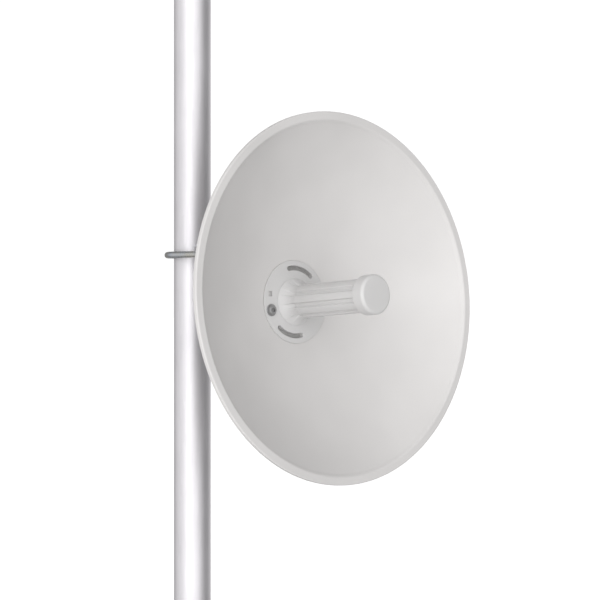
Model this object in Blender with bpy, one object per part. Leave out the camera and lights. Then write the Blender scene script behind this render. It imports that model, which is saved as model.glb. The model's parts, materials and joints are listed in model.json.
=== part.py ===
"""Wireless bridge dish antenna on a short pole, modelled as its separate parts.

Metres, +Z up. The origin is the middle of the foot plate's underside, on the
pole's axis. The dish looks along -Y and slightly up. Three groups move as one
piece each: the pole, the clamp that turns around it, and the dish assembly
that tilts on the clamp's pivot bolt.
"""

import math

import bmesh
import bpy
from mathutils import Matrix, Vector

# Gap left between two solids that touch, and how far a cutter runs past what it cuts
TOUCH_GAP = 0.0003
CUT_MARGIN = 0.002

# Pole and its foot
POLE_RADIUS = 0.02225
POLE_WALL = 0.002
POLE_TOP_Z = 0.860
FOOT_SIDE = 0.140
FOOT_THICKNESS = 0.008
FOOT_CORNER_RADIUS = 0.014
FOOT_HOLE_OFFSET = 0.052
FOOT_HOLE_RADIUS = 0.0055
CAP_HEIGHT = 0.010
CAP_SKIN = 0.0016
CAP_PLUG_DEPTH = 0.018
CAP_EDGE_RADIUS = 0.004

# The clamp: U-bolt, toothed jaw and pole bracket
PIVOT_Y = -0.100
PIVOT_Z = 0.455
U_BOLT_Z = PIVOT_Z + 0.0475
ROD_RADIUS = 0.004
U_BEND_RADIUS = 0.031
LEG_X = U_BEND_RADIUS + ROD_RADIUS
LEG_END_Y = -0.098
CLAMP_FACE_Y = -0.072
SHEET = 0.003
JAW_HALF_WIDTH = 0.046
JAW_TOP = 0.013
JAW_BOTTOM = -0.028
JAW_TIP_X = 0.0112
JAW_SLOPE = math.radians(25.0)
JAW_TOOTH_DEPTH = 0.0012
JAW_TEETH = 4
POLE_BRACKET_HALF_WIDTH = 0.047
POLE_BRACKET_TOP = 0.076
POLE_BRACKET_BOTTOM = -0.060
CENTRE_WINDOW_RADIUS = 0.014

# Side view of a pole bracket ear: its flat top, the throat under it, and the two rounded ends
EAR_TOP_LENGTH = 0.014
EAR_TOP_SLANT = (0.002, 0.003)
EAR_THROAT = (0.010, 0.026)
EAR_NOSE_RADIUS = 0.019
EAR_NOSE_ARC = (math.radians(65.0), math.radians(195.0))
EAR_LOBE_RADIUS = 0.0115
EAR_LOBE_ARC = (math.radians(175.0), math.radians(265.0))

# Elevation pivot and the lock bolts in their curved slots
TILT = math.radians(3.6)
TILT_RANGE = math.radians(20.0)
BOLT_RADIUS = 0.004
BOLT_HOLE_RADIUS = 0.0045
LOCK_RADIUS = 0.044
LOCK_ANGLE = math.radians(4.0)
LOCK_RIM = 0.007
SLOT_END_MARGIN = math.radians(9.0)
DISH_EAR_INNER_X = POLE_BRACKET_HALF_WIDTH + 0.0005
DISH_EAR_OUTER_X = DISH_EAR_INNER_X + SHEET
DISH_EAR_TOP_LENGTH = 0.010
DISH_EAR_NOSE_RADIUS = 0.015
DISH_EAR_NOSE_ARC = (math.radians(80.0), math.radians(-20.0))

# Standard M8 bolt, nut and washer, and how far a bolt stands out of its nut
BOLT_HEAD_HEIGHT = 0.0053
NUT_ACROSS_FLATS = 0.013
NUT_HEIGHT = 0.0065
WASHER_RADIUS = 0.008
WASHER_THICKNESS = 0.0016
PIVOT_BOLT_OVERRUN = 0.004
LOCK_BOLT_OVERRUN = 0.003

# Dish assembly, in its own frame: origin on the pivot, dish axis along -Y
AXIS_DROP = 0.014
RIM_Y = -0.161
DISH_RADIUS = 0.210
BOWL_RADIUS = 0.2015
BOWL_DEPTH = 0.082
BOWL_END_RADIUS = 0.197
LIP_INNER_RADIUS = 0.2035
LIP_CORNER = 0.0015
RIM_RETURN = 0.0045
DISH_SHEET = 0.0016
CENTRE_HOLE_RADIUS = 0.0435

# Hub plate with its two curved slots, two bolts and two square latch pockets
HUB_RADIUS = 0.0476
HUB_FACE_Y = RIM_Y + 0.076
HUB_BACK_Y = HUB_FACE_Y + 0.0077
HUB_SLOT_RADIUS = 0.0390
HUB_SLOT_HALF_WIDTH = 0.0027
HUB_SLOT_DEPTH = 0.0055
HUB_SLOT_START = math.radians(49.0)
HUB_SLOT_END = math.radians(101.0)
HUB_BOLT_RADIUS = 0.0385
HUB_BOLT_ANGLE = math.radians(14.0)
HUB_BOLT_HEAD_RADIUS = 0.0070
HUB_BOLT_HEAD_HEIGHT = 0.0040
HUB_BOLT_SHANK_RADIUS = 0.0030
HUB_BOLT_LENGTH = 0.020
HUB_POCKET_SIDE = 0.0055
HUB_POCKET_DEPTH = 0.0035
HUB_EDGE_STEP = (0.0008, 0.0006)

# Feed: flared base, fluted tube and round cap
FLARE_RADIUS = 0.0270
FLARE_LENGTH = 0.0165
FLARE_POWER = 2.4
TUBE_RADIUS = 0.0190
FLUTES = 8
FLUTE_DEPTH = 0.0024
FLUTE_HALF_ANGLE = math.radians(12.0)
FLUTE_PHASE = math.radians(27.0)
CAP_RADIUS = 0.0225
CAP_FRONT_Y = RIM_Y - 0.058
CAP_LENGTH = 0.016
CAP_ROUND = 0.0035
CAP_REAR_ROUND = 0.001

# Radio housing behind the dish and the bracket bolted to it
HOUSING_RADIUS = 0.064
HOUSING_DRAFT = 0.002
HOUSING_SHOULDER = 0.005
HOUSING_SEAT_RADII = (CENTRE_HOLE_RADIUS + 0.001, 0.050, 0.057, 0.062)
HOUSING_REAR_Y = -0.0410
COVER_REAR_Y = -0.0326
COVER_DRAFT = 0.001
COVER_CHAMFER = (0.005, 0.004)
BRACKET_WEB_FRONT_Y = -0.032
BRACKET_HALF_HEIGHT = 0.045
BRACKET_BOLT_OFFSET = 0.028
BRACKET_BOLT_LENGTH = 0.012
BRACKET_BOLT_HEAD_RADIUS = 0.0058
BRACKET_BOLT_HEAD_HEIGHT = 0.004
BRACKET_BOLT_BORE_DEPTH = 0.012
PORT_COVER_Y = -0.060
PORT_COVER_LENGTH = 0.026
PORT_COVER_WIDTH = 0.044
PORT_COVER_CORNER = 0.004
PORT_COVER_BOTTOM = -AXIS_DROP - HOUSING_RADIUS - 0.006
PORT_COVER_HEIGHT = 0.018
PORT_COVER_INNER_RADIUS = HOUSING_RADIUS + HOUSING_DRAFT + TOUCH_GAP

# Cable gland under the port cover: a collar, then a nut that tapers to its end
GLAND_COLLAR_RADIUS = 0.0085
GLAND_COLLAR_LENGTH = 0.006
GLAND_NUT_RADIUS = 0.0075
GLAND_NUT_START = 0.0075
GLAND_TIP_RADIUS = 0.0065
GLAND_LENGTH = 0.014


def material(name, colour, roughness, metallic=0.0):
    """One Principled BSDF finish."""
    finish = bpy.data.materials.new(name)
    finish.use_nodes = True
    shader = finish.node_tree.nodes["Principled BSDF"]
    shader.inputs["Base Color"].default_value = (*colour, 1.0)
    shader.inputs["Roughness"].default_value = roughness
    shader.inputs["Metallic"].default_value = metallic
    return finish


def add_object(name, mesh, finish, parent=None, location=(0, 0, 0)):
    """Put a mesh in the scene as one named part."""
    mesh.materials.append(finish)
    mesh.shade_smooth()
    mesh.set_sharp_from_angle(angle=math.radians(35.0))
    part = bpy.data.objects.new(name, mesh)
    part.parent = parent
    part.location = location
    bpy.context.scene.collection.objects.link(part)
    return part


def add_empty(name, location, tilt=0.0, parent=None):
    """An empty that carries parts and marks their joint's axis."""
    empty = bpy.data.objects.new(name, None)
    empty.location = location
    empty.rotation_euler.x = tilt
    empty.parent = parent
    bpy.context.scene.collection.objects.link(empty)
    return empty


def mesh_from(bm, name):
    """Turn a bmesh into a mesh whose faces all point out."""
    bmesh.ops.recalc_face_normals(bm, faces=bm.faces)
    mesh = bpy.data.meshes.new(name)
    bm.to_mesh(mesh)
    bm.free()
    return mesh


def turned(name, profile, segments, centre=(0.0, 0.0)):
    """Turn a closed (radius, y) profile around a line along Y at (x, z) = centre."""
    bm = bmesh.new()
    rings = []
    for radius, y in profile:
        if radius == 0.0:
            rings.append([bm.verts.new((centre[0], y, centre[1]))])
            continue
        ring = []
        for step in range(segments):
            angle = 2 * math.pi * step / segments
            x = centre[0] + radius * math.cos(angle)
            z = centre[1] + radius * math.sin(angle)
            ring.append(bm.verts.new((x, y, z)))
        rings.append(ring)
    for first, second in zip(rings, rings[1:] + rings[:1]):
        if len(first) == 1 and len(second) == 1:
            continue
        for step in range(segments):
            after = (step + 1) % segments
            if len(first) == 1:
                bm.faces.new((first[0], second[step], second[after]))
            elif len(second) == 1:
                bm.faces.new((first[step], second[0], first[after]))
            else:
                bm.faces.new((first[step], second[step], second[after], first[after]))
    return mesh_from(bm, name)


def plate(name, loops, axes, start, thickness):
    """A flat plate: an outline and its holes as loops of (u, v), pushed along the third axis."""
    u_axis, v_axis = (Vector(axis) for axis in axes)
    push = u_axis.cross(v_axis)
    bm = bmesh.new()
    for loop in loops:
        corners = [bm.verts.new(u * u_axis + v * v_axis + start * push) for u, v in loop]
        for first, second in zip(corners, corners[1:] + corners[:1]):
            bm.edges.new((first, second))
    bmesh.ops.triangle_fill(bm, use_beauty=True, edges=bm.edges[:])
    pushed = bmesh.ops.extrude_face_region(bm, geom=bm.faces[:])["geom"]
    moved = [item for item in pushed if isinstance(item, bmesh.types.BMVert)]
    bmesh.ops.translate(bm, verts=moved, vec=thickness * push)
    return mesh_from(bm, name)


def arc(centre, radius, start, end, steps):
    """Points of an arc, both ends included."""
    points = []
    for step in range(steps + 1):
        angle = start + (end - start) * step / steps
        points.append((centre[0] + radius * math.cos(angle), centre[1] + radius * math.sin(angle)))
    return points


def circle(centre, radius, steps=20):
    """Points of a full circle."""
    return arc(centre, radius, 0.0, 2 * math.pi, steps)[:-1]


def rounded_rectangle(half_u, half_v, radius, steps=4):
    """Outline of a rectangle with round corners."""
    points = []
    for quarter, (sign_u, sign_v) in enumerate(((1, 1), (-1, 1), (-1, -1), (1, -1))):
        centre = (sign_u * (half_u - radius), sign_v * (half_v - radius))
        start = quarter * math.pi / 2
        points += arc(centre, radius, start, start + math.pi / 2, steps)
    return points


def curved_slot(radius, half_width, start, end, steps=8):
    """Outline of a slot that follows a circle around (0, 0), with round ends."""
    points = arc((0, 0), radius + half_width, start, end, steps)
    end_centre = (radius * math.cos(end), radius * math.sin(end))
    points += arc(end_centre, half_width, end, end + math.pi, 6)[1:-1]
    points += arc((0, 0), radius - half_width, end, start, steps)
    start_centre = (radius * math.cos(start), radius * math.sin(start))
    points += arc(start_centre, half_width, start + math.pi, start + 2 * math.pi, 6)[1:-1]
    return points


def boolean(part, other, operation):
    """Join another shape to a part, or cut it out of the part."""
    other.hide_render = True
    other.display_type = "WIRE"
    modifier = part.modifiers.new(operation.title(), "BOOLEAN")
    modifier.operation = operation
    modifier.object = other
    modifier.solver = "EXACT"


def bolt_mesh(name, shank_radius, length, head_radius, head_height, sides=6):
    """A bolt along +Y: its head ends at y = 0 and its shank runs on to y = length."""
    bm = bmesh.new()
    head = bmesh.ops.create_cone(
        bm, cap_ends=True, segments=sides, radius1=head_radius, radius2=head_radius, depth=head_height
    )
    turn = Matrix.Rotation(math.pi / 2, 4, "X")
    bmesh.ops.transform(bm, matrix=Matrix.Translation((0, -head_height / 2, 0)) @ turn, verts=head["verts"])
    seat = max(bm.faces, key=lambda face: face.calc_center_median().y)
    inset = circle((0, 0), shank_radius, 16)
    top = [bm.verts.new((x, 0, z)) for x, z in inset]
    bottom = [bm.verts.new((x, length, z)) for x, z in inset]
    seat_edges = list(seat.edges)
    bm.faces.remove(seat)
    ring_edges = []
    for step in range(len(top)):
        after = (step + 1) % len(top)
        ring_edges.append(bm.edges.new((top[step], top[after])))
        bm.faces.new((top[step], bottom[step], bottom[after], top[after]))
    bm.faces.new(bottom)
    bmesh.ops.triangle_fill(bm, use_beauty=True, edges=seat_edges + ring_edges)
    return mesh_from(bm, name)


def ring_mesh(name, outer, inner_radius, thickness):
    """A nut or washer along +Y from y = 0, with a round hole."""
    loops = [outer, circle((0, 0), inner_radius, 16)]
    return plate(name, loops, ((0, 0, 1), (1, 0, 0)), 0.0, thickness)


def hexagon(across_flats):
    """Outline of a hexagon around (0, 0)."""
    return circle((0, 0), across_flats / math.sqrt(3.0), 6)


def bowl_y(radius):
    """Front face of the reflector: a paraboloid that runs into a flat lip."""
    if radius <= BOWL_END_RADIUS:
        return RIM_Y + BOWL_DEPTH * (1 - (radius / BOWL_RADIUS) ** 2)
    span = LIP_INNER_RADIUS - BOWL_END_RADIUS
    t = min((radius - BOWL_END_RADIUS) / span, 1.0)
    start = BOWL_DEPTH * (1 - (BOWL_END_RADIUS / BOWL_RADIUS) ** 2)
    slope = -2 * BOWL_DEPTH * BOWL_END_RADIUS / BOWL_RADIUS**2
    return RIM_Y + start * (2 * t**3 - 3 * t**2 + 1) + slope * span * (t**3 - 2 * t**2 + t)


def bowl_slope(radius):
    """Slope of the reflector's front face."""
    step = 0.0001
    return (bowl_y(radius + step) - bowl_y(radius - step)) / (2 * step)


def bowl_back(radius):
    """The point behind bowl_y(radius), one sheet thickness away."""
    slope = bowl_slope(radius)
    length = math.hypot(1.0, slope)
    return radius - DISH_SHEET * slope / length, bowl_y(radius) + DISH_SHEET / length


def bowl_radii():
    """Radii where the reflector's profile has a point, from the centre hole to the lip."""
    steps = 7
    span = BOWL_END_RADIUS - CENTRE_HOLE_RADIUS
    radii = [CENTRE_HOLE_RADIUS + span * step / steps for step in range(steps + 1)]
    blend = LIP_INNER_RADIUS - BOWL_END_RADIUS
    return radii + [BOWL_END_RADIUS + blend * step / 3 for step in (1, 2, 3)]


def make_pole(finishes):
    """Foot plate, tube and plastic top cap."""
    corners = rounded_rectangle(FOOT_SIDE / 2, FOOT_SIDE / 2, FOOT_CORNER_RADIUS)
    holes = []
    for x in (-FOOT_HOLE_OFFSET, FOOT_HOLE_OFFSET):
        for y in (-FOOT_HOLE_OFFSET, FOOT_HOLE_OFFSET):
            holes.append(circle((x, y), FOOT_HOLE_RADIUS))
    mesh = plate("foot_plate", [corners, *holes], ((1, 0, 0), (0, 1, 0)), 0.0, FOOT_THICKNESS)
    add_object("foot_plate", mesh, finishes["galvanised"])

    tube_foot = FOOT_THICKNESS + TOUCH_GAP
    loops = [circle((0, 0), POLE_RADIUS, 48), circle((0, 0), POLE_RADIUS - POLE_WALL, 48)]
    mesh = plate("pole_tube", loops, ((1, 0, 0), (0, 1, 0)), tube_foot, POLE_TOP_Z - tube_foot)
    add_object("pole_tube", mesh, finishes["galvanised"])

    bore = POLE_RADIUS - POLE_WALL - TOUCH_GAP
    seat = POLE_TOP_Z + TOUCH_GAP
    top = POLE_TOP_Z + CAP_HEIGHT
    rim = POLE_RADIUS + CAP_SKIN / 2
    plug_end = POLE_TOP_Z - CAP_PLUG_DEPTH
    edge_centre = (rim - CAP_EDGE_RADIUS, top - CAP_EDGE_RADIUS)
    profile = [(0.0, top), *arc(edge_centre, CAP_EDGE_RADIUS, math.pi / 2, 0.0, 3), (rim, seat), (bore, seat)]
    profile += [(bore, plug_end), (bore - CAP_SKIN, plug_end), (bore - CAP_SKIN, top - 2 * CAP_SKIN)]
    profile.append((0.0, top - 2 * CAP_SKIN))
    mesh = turned("pole_cap", profile, 40)
    mesh.transform(Matrix.Rotation(math.pi / 2, 4, "X"))
    add_object("pole_cap", mesh, finishes["black_plastic"])


def jaw_flange_outline():
    """Top view of one jaw flange, from the bolting face back to the toothed notch."""
    clear = POLE_RADIUS + TOUCH_GAP
    apex_y = -clear / math.cos(JAW_SLOPE)
    slope = math.tan(JAW_SLOPE)
    right = []
    for tooth in range(JAW_TEETH):
        tip = JAW_TIP_X * (tooth + 1) / JAW_TEETH
        valley = tip - JAW_TIP_X * 0.5 / JAW_TEETH
        right.append((valley, apex_y + valley * slope - JAW_TOOTH_DEPTH))
        right.append((tip, apex_y + tip * slope))
    left = [(-x, y) for x, y in reversed(right)]
    front = CLAMP_FACE_Y + TOUCH_GAP
    shoulder = front + SHEET
    outline = [(-JAW_HALF_WIDTH, front), (JAW_HALF_WIDTH, front), (JAW_HALF_WIDTH, shoulder)]
    return outline + right[::-1] + [(0.0, apex_y)] + left[::-1] + [(-JAW_HALF_WIDTH, shoulder)]


def make_jaw(clamp, finishes):
    """Toothed V jaw: a base plate with two flanges that grip the pole."""
    front = CLAMP_FACE_Y + TOUCH_GAP
    low = U_BOLT_Z + JAW_BOTTOM
    high = U_BOLT_Z + JAW_TOP
    outline = [(-JAW_HALF_WIDTH, low), (JAW_HALF_WIDTH, low), (JAW_HALF_WIDTH, high), (-JAW_HALF_WIDTH, high)]
    holes = [circle((x, U_BOLT_Z), BOLT_HOLE_RADIUS) for x in (-LEG_X, LEG_X)]
    mesh = plate("pole_jaw", [outline, *holes], ((1, 0, 0), (0, 0, 1)), -front, -SHEET)
    jaw = add_object("pole_jaw", mesh, finishes["zinc"], clamp)
    for label, bottom in (("upper", high - SHEET), ("lower", low)):
        mesh = plate(label, [jaw_flange_outline()], ((1, 0, 0), (0, 1, 0)), bottom, SHEET)
        boolean(jaw, add_object(f"jaw_{label}_flange_guide", mesh, finishes["zinc"], clamp), "UNION")


def make_u_bolt(clamp, finishes):
    """Round rod bent around the back of the pole, with its legs pointing at the dish."""
    bend_y = POLE_RADIUS + TOUCH_GAP - U_BEND_RADIUS
    points = [(-LEG_X, LEG_END_Y), *arc((0.0, bend_y), LEG_X, math.pi, 0.0, 20), (LEG_X, LEG_END_Y)]
    curve = bpy.data.curves.new("u_bolt", "CURVE")
    curve.dimensions = "3D"
    curve.bevel_depth = ROD_RADIUS
    curve.bevel_resolution = 2
    curve.use_fill_caps = True
    spline = curve.splines.new("POLY")
    spline.points.add(len(points) - 1)
    for point, (x, y) in zip(spline.points, points):
        point.co = (x, y, U_BOLT_Z, 1.0)
    curve.materials.append(finishes["zinc"])
    rod = bpy.data.objects.new("u_bolt", curve)
    rod.parent = clamp
    bpy.context.scene.collection.objects.link(rod)

    nut = ring_mesh("u_bolt_nut", hexagon(NUT_ACROSS_FLATS), ROD_RADIUS + TOUCH_GAP, NUT_HEIGHT)
    washer = ring_mesh("u_bolt_washer", circle((0, 0), WASHER_RADIUS), ROD_RADIUS + TOUCH_GAP, WASHER_THICKNESS)
    washer_y = CLAMP_FACE_Y - SHEET - TOUCH_GAP - WASHER_THICKNESS
    nut_y = washer_y - TOUCH_GAP - NUT_HEIGHT
    for side, x in (("left", -LEG_X), ("right", LEG_X)):
        add_object(f"u_bolt_washer_{side}", washer.copy(), finishes["zinc"], clamp, (x, washer_y, U_BOLT_Z))
        add_object(f"u_bolt_nut_{side}", nut.copy(), finishes["zinc"], clamp, (x, nut_y, U_BOLT_Z))


def lock_point(tilt):
    """Lock bolt from the pivot, as (y, z), for a dish tilt measured from level."""
    angle = LOCK_ANGLE - tilt
    return LOCK_RADIUS * math.sin(angle), -LOCK_RADIUS * math.cos(angle)


def pole_ear_outline():
    """Side view of a pole bracket ear from the pivot, as (y, z)."""
    back = CLAMP_FACE_Y - PIVOT_Y
    lock_y, lock_z = lock_point(TILT)
    top_end = back - EAR_TOP_LENGTH
    outline = [(back, POLE_BRACKET_BOTTOM), (back, POLE_BRACKET_TOP), (top_end, POLE_BRACKET_TOP)]
    outline += [(top_end - EAR_TOP_SLANT[0], POLE_BRACKET_TOP - EAR_TOP_SLANT[1]), EAR_THROAT]
    outline += arc((0.0, 0.0), EAR_NOSE_RADIUS, *EAR_NOSE_ARC, 9)
    outline += arc((lock_y, lock_z), EAR_LOBE_RADIUS, *EAR_LOBE_ARC, 6)
    return outline


def make_pole_bracket(clamp, finishes):
    """Channel of bent sheet: a web behind the jaw and two ears that hold the tilt pivot."""
    half = POLE_BRACKET_HALF_WIDTH
    bottom = PIVOT_Z + POLE_BRACKET_BOTTOM
    top = PIVOT_Z + POLE_BRACKET_TOP
    outline = [(-half, bottom), (half, bottom), (half, top), (-half, top)]
    holes = [circle((x, U_BOLT_Z), BOLT_HOLE_RADIUS) for x in (-LEG_X, LEG_X)]
    holes.append(circle((0.0, PIVOT_Z), CENTRE_WINDOW_RADIUS, 24))
    mesh = plate("pole_bracket", [outline, *holes], ((1, 0, 0), (0, 0, 1)), -CLAMP_FACE_Y, SHEET)
    bracket = add_object("pole_bracket", mesh, finishes["zinc"], clamp)
    shift = Vector((0, PIVOT_Y, PIVOT_Z))
    loops = [pole_ear_outline(), circle((0, 0), BOLT_HOLE_RADIUS), circle(lock_point(TILT), BOLT_HOLE_RADIUS)]
    for side, start in (("left", -half), ("right", half - SHEET)):
        mesh = plate(side, loops, ((0, 1, 0), (0, 0, 1)), start, SHEET)
        ear = add_object(f"pole_bracket_{side}_ear_guide", mesh, finishes["zinc"], clamp, shift)
        boolean(bracket, ear, "UNION")


def make_pivot_hardware(clamp, finishes):
    """Long pivot bolt with its nut and washers, and one short lock bolt with a nut on each side."""
    outside = DISH_EAR_OUTER_X + TOUCH_GAP
    to_x = Matrix.Rotation(-math.pi / 2, 4, "Z")
    pivot = Vector((0, PIVOT_Y, PIVOT_Z))
    head_radius = NUT_ACROSS_FLATS / math.sqrt(3.0)
    washer = ring_mesh("washer", circle((0, 0), WASHER_RADIUS), BOLT_RADIUS + TOUCH_GAP, WASHER_THICKNESS)
    nut = ring_mesh("nut", hexagon(NUT_ACROSS_FLATS), BOLT_RADIUS + TOUCH_GAP, NUT_HEIGHT)
    washer.transform(to_x)
    nut.transform(to_x)

    seat_x = outside + WASHER_THICKNESS + TOUCH_GAP
    nut_end_x = seat_x + NUT_HEIGHT
    length = seat_x + nut_end_x + PIVOT_BOLT_OVERRUN
    bolt = bolt_mesh("pivot_bolt", BOLT_RADIUS, length, head_radius, BOLT_HEAD_HEIGHT)
    bolt.transform(to_x)
    add_object("pivot_bolt", bolt, finishes["zinc"], clamp, pivot + Vector((-seat_x, 0, 0)))
    add_object("pivot_nut", nut.copy(), finishes["zinc"], clamp, pivot + Vector((seat_x, 0, 0)))
    left_x = -outside - WASHER_THICKNESS
    add_object("pivot_washer_left", washer.copy(), finishes["zinc"], clamp, pivot + Vector((left_x, 0, 0)))
    add_object("pivot_washer_right", washer.copy(), finishes["zinc"], clamp, pivot + Vector((outside, 0, 0)))

    lock_y, lock_z = lock_point(TILT)
    head_seat = POLE_BRACKET_HALF_WIDTH - SHEET - TOUCH_GAP
    length = nut_end_x + LOCK_BOLT_OVERRUN - head_seat
    for side, sign in (("left", -1), ("right", 1)):
        place = pivot + Vector((0, lock_y, lock_z))
        turn = Matrix.Rotation(0.0 if sign > 0 else math.pi, 4, "Z")
        bolt = bolt_mesh(f"lock_bolt_{side}", BOLT_RADIUS, length, head_radius, BOLT_HEAD_HEIGHT)
        bolt.transform(turn @ to_x)
        add_object(f"lock_bolt_{side}", bolt, finishes["zinc"], clamp, place + Vector((sign * head_seat, 0, 0)))
        for kind, mesh, distance in (("washer", washer, outside), ("nut", nut, seat_x)):
            copy = mesh.copy()
            copy.transform(turn)
            at = place + Vector((sign * distance, 0, 0))
            add_object(f"lock_{kind}_{side}", copy, finishes["zinc"], clamp, at)


def make_reflector(dish, finishes):
    """Stamped bowl with a flat lip whose edge is turned back."""
    radii = bowl_radii()
    edge = DISH_RADIUS
    profile = [(radius, bowl_y(radius)) for radius in radii]
    profile += arc((edge - LIP_CORNER, RIM_Y + LIP_CORNER), LIP_CORNER, -math.pi / 2, 0.0, 2)
    profile.append((edge, RIM_Y + RIM_RETURN))
    profile += [(edge - DISH_SHEET, RIM_Y + RIM_RETURN), (edge - DISH_SHEET, RIM_Y + DISH_SHEET)]
    profile += [bowl_back(radius) for radius in reversed(radii)]
    mesh = turned("reflector", profile, 72, (0.0, -AXIS_DROP))
    add_object("reflector", mesh, finishes["white_powder_coat"], dish)


def hub_place(radius, angle):
    """Position on the hub face, as (x, z) in the dish frame."""
    return radius * math.cos(angle), radius * math.sin(angle) - AXIS_DROP


def make_hub(dish, finishes):
    """Plate that closes the reflector's centre hole, with slots, pockets and its two bolts."""
    white = finishes["white_plastic"]
    face = ((1, 0, 0), (0, 0, 1))
    edge_back = bowl_y(HUB_RADIUS) - TOUCH_GAP
    spigot = CENTRE_HOLE_RADIUS - TOUCH_GAP
    edge_in, edge_back_step = HUB_EDGE_STEP
    profile = [(0.0, HUB_FACE_Y), (HUB_RADIUS - edge_in, HUB_FACE_Y), (HUB_RADIUS, HUB_FACE_Y + edge_back_step)]
    profile += [(HUB_RADIUS, edge_back), (spigot, edge_back), (spigot, HUB_BACK_Y), (0.0, HUB_BACK_Y)]
    hub = add_object("hub_plate", turned("hub_plate", profile, 48, (0.0, -AXIS_DROP)), white, dish)
    front = HUB_FACE_Y - CUT_MARGIN
    for label, half_turn in (("upper", 0.0), ("lower", math.pi)):
        slot = curved_slot(
            HUB_SLOT_RADIUS, HUB_SLOT_HALF_WIDTH, HUB_SLOT_START + half_turn, HUB_SLOT_END + half_turn
        )
        slot = [(x, z - AXIS_DROP) for x, z in slot]
        mesh = plate("slot", [slot], face, -front, -(HUB_SLOT_DEPTH + CUT_MARGIN))
        boolean(hub, add_object(f"hub_{label}_slot_cutter", mesh, white, dish), "DIFFERENCE")

        x, z = hub_place(HUB_BOLT_RADIUS, math.pi - HUB_BOLT_ANGLE + half_turn)
        half = HUB_POCKET_SIDE / 2
        square = [(x - half, z - half), (x + half, z - half), (x + half, z + half), (x - half, z + half)]
        mesh = plate("pocket", [square], face, -front, -(HUB_POCKET_DEPTH + CUT_MARGIN))
        boolean(hub, add_object(f"hub_{label}_pocket_cutter", mesh, white, dish), "DIFFERENCE")

    for label, angle in (("left", math.pi + HUB_BOLT_ANGLE), ("right", HUB_BOLT_ANGLE)):
        x, z = hub_place(HUB_BOLT_RADIUS, angle)
        hole = circle((x, z), HUB_BOLT_SHANK_RADIUS + TOUCH_GAP, 16)
        depth = HUB_BOLT_LENGTH + 2 * CUT_MARGIN
        mesh = plate("bore", [hole], face, -front, -depth)
        cutter = add_object(f"hub_{label}_bolt_hole_cutter", mesh, white, dish)
        boolean(hub, cutter, "DIFFERENCE")
        boolean(bpy.data.objects["radio_housing"], cutter, "DIFFERENCE")
        mesh = bolt_mesh(
            "hub_bolt", HUB_BOLT_SHANK_RADIUS, HUB_BOLT_LENGTH, HUB_BOLT_HEAD_RADIUS, HUB_BOLT_HEAD_HEIGHT, 24
        )
        at = (x, HUB_FACE_Y - TOUCH_GAP, z)
        add_object(f"hub_bolt_{label}", mesh, finishes["dark_steel"], dish, at)


def fluted_ring(radius, depth):
    """Section of the feed: a circle with long grooves, as (x, z) around the dish axis."""
    points = []
    land = 2 * math.pi / FLUTES - 2 * FLUTE_HALF_ANGLE
    for flute in range(FLUTES):
        middle = math.pi - FLUTE_PHASE + 2 * math.pi * flute / FLUTES
        for share, sink in ((-1.0, 0.0), (-0.5, depth), (0.5, depth), (1.0, 0.0)):
            angle = middle + share * FLUTE_HALF_ANGLE
            points.append(((radius - sink) * math.cos(angle), (radius - sink) * math.sin(angle)))
        for share in (0.33, 0.67):
            angle = middle + FLUTE_HALF_ANGLE + share * land
            points.append((radius * math.cos(angle), radius * math.sin(angle)))
    return [(x, z - AXIS_DROP) for x, z in points]


def lofted(name, sections):
    """Skin a row of equal-sized (outline, y) sections and close both ends."""
    bm = bmesh.new()
    rings = [[bm.verts.new((x, y, z)) for x, z in outline] for outline, y in sections]
    for first, second in zip(rings, rings[1:]):
        for step in range(len(first)):
            after = (step + 1) % len(first)
            bm.faces.new((first[step], second[step], second[after], first[after]))
    bm.faces.new(rings[0])
    bm.faces.new(rings[-1])
    return mesh_from(bm, name)


def make_feed(dish, finishes):
    """Flared base, fluted tube and round cap along the dish axis."""
    base = HUB_FACE_Y - TOUCH_GAP
    tip = base - FLARE_LENGTH
    sections = []
    steps = 6
    for step in range(steps + 1):
        t = step / steps
        radius = TUBE_RADIUS + (FLARE_RADIUS - TUBE_RADIUS) * (1 - t) ** FLARE_POWER
        sections.append((fluted_ring(radius, FLUTE_DEPTH * t), base - FLARE_LENGTH * t))
    add_object("feed_base", lofted("feed_base", sections), finishes["white_plastic"], dish)

    tube_start = tip - TOUCH_GAP
    tube_end = CAP_FRONT_Y + CAP_LENGTH + TOUCH_GAP
    section = fluted_ring(TUBE_RADIUS, FLUTE_DEPTH)
    tube = lofted("feed_tube", [(section, tube_start), (section, tube_end)])
    add_object("feed_tube", tube, finishes["white_plastic"], dish)

    rear = CAP_FRONT_Y + CAP_LENGTH
    round_centre = (CAP_RADIUS - CAP_ROUND, CAP_FRONT_Y + CAP_ROUND)
    profile = [(0.0, rear), (CAP_RADIUS - CAP_REAR_ROUND, rear), (CAP_RADIUS, rear - CAP_REAR_ROUND)]
    profile += arc(round_centre, CAP_ROUND, 0.0, -math.pi / 2, 5)
    profile.append((0.0, CAP_FRONT_Y))
    cap = turned("feed_cap", profile, 36, (0.0, -AXIS_DROP))
    add_object("feed_cap", cap, finishes["white_plastic"], dish)


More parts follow.
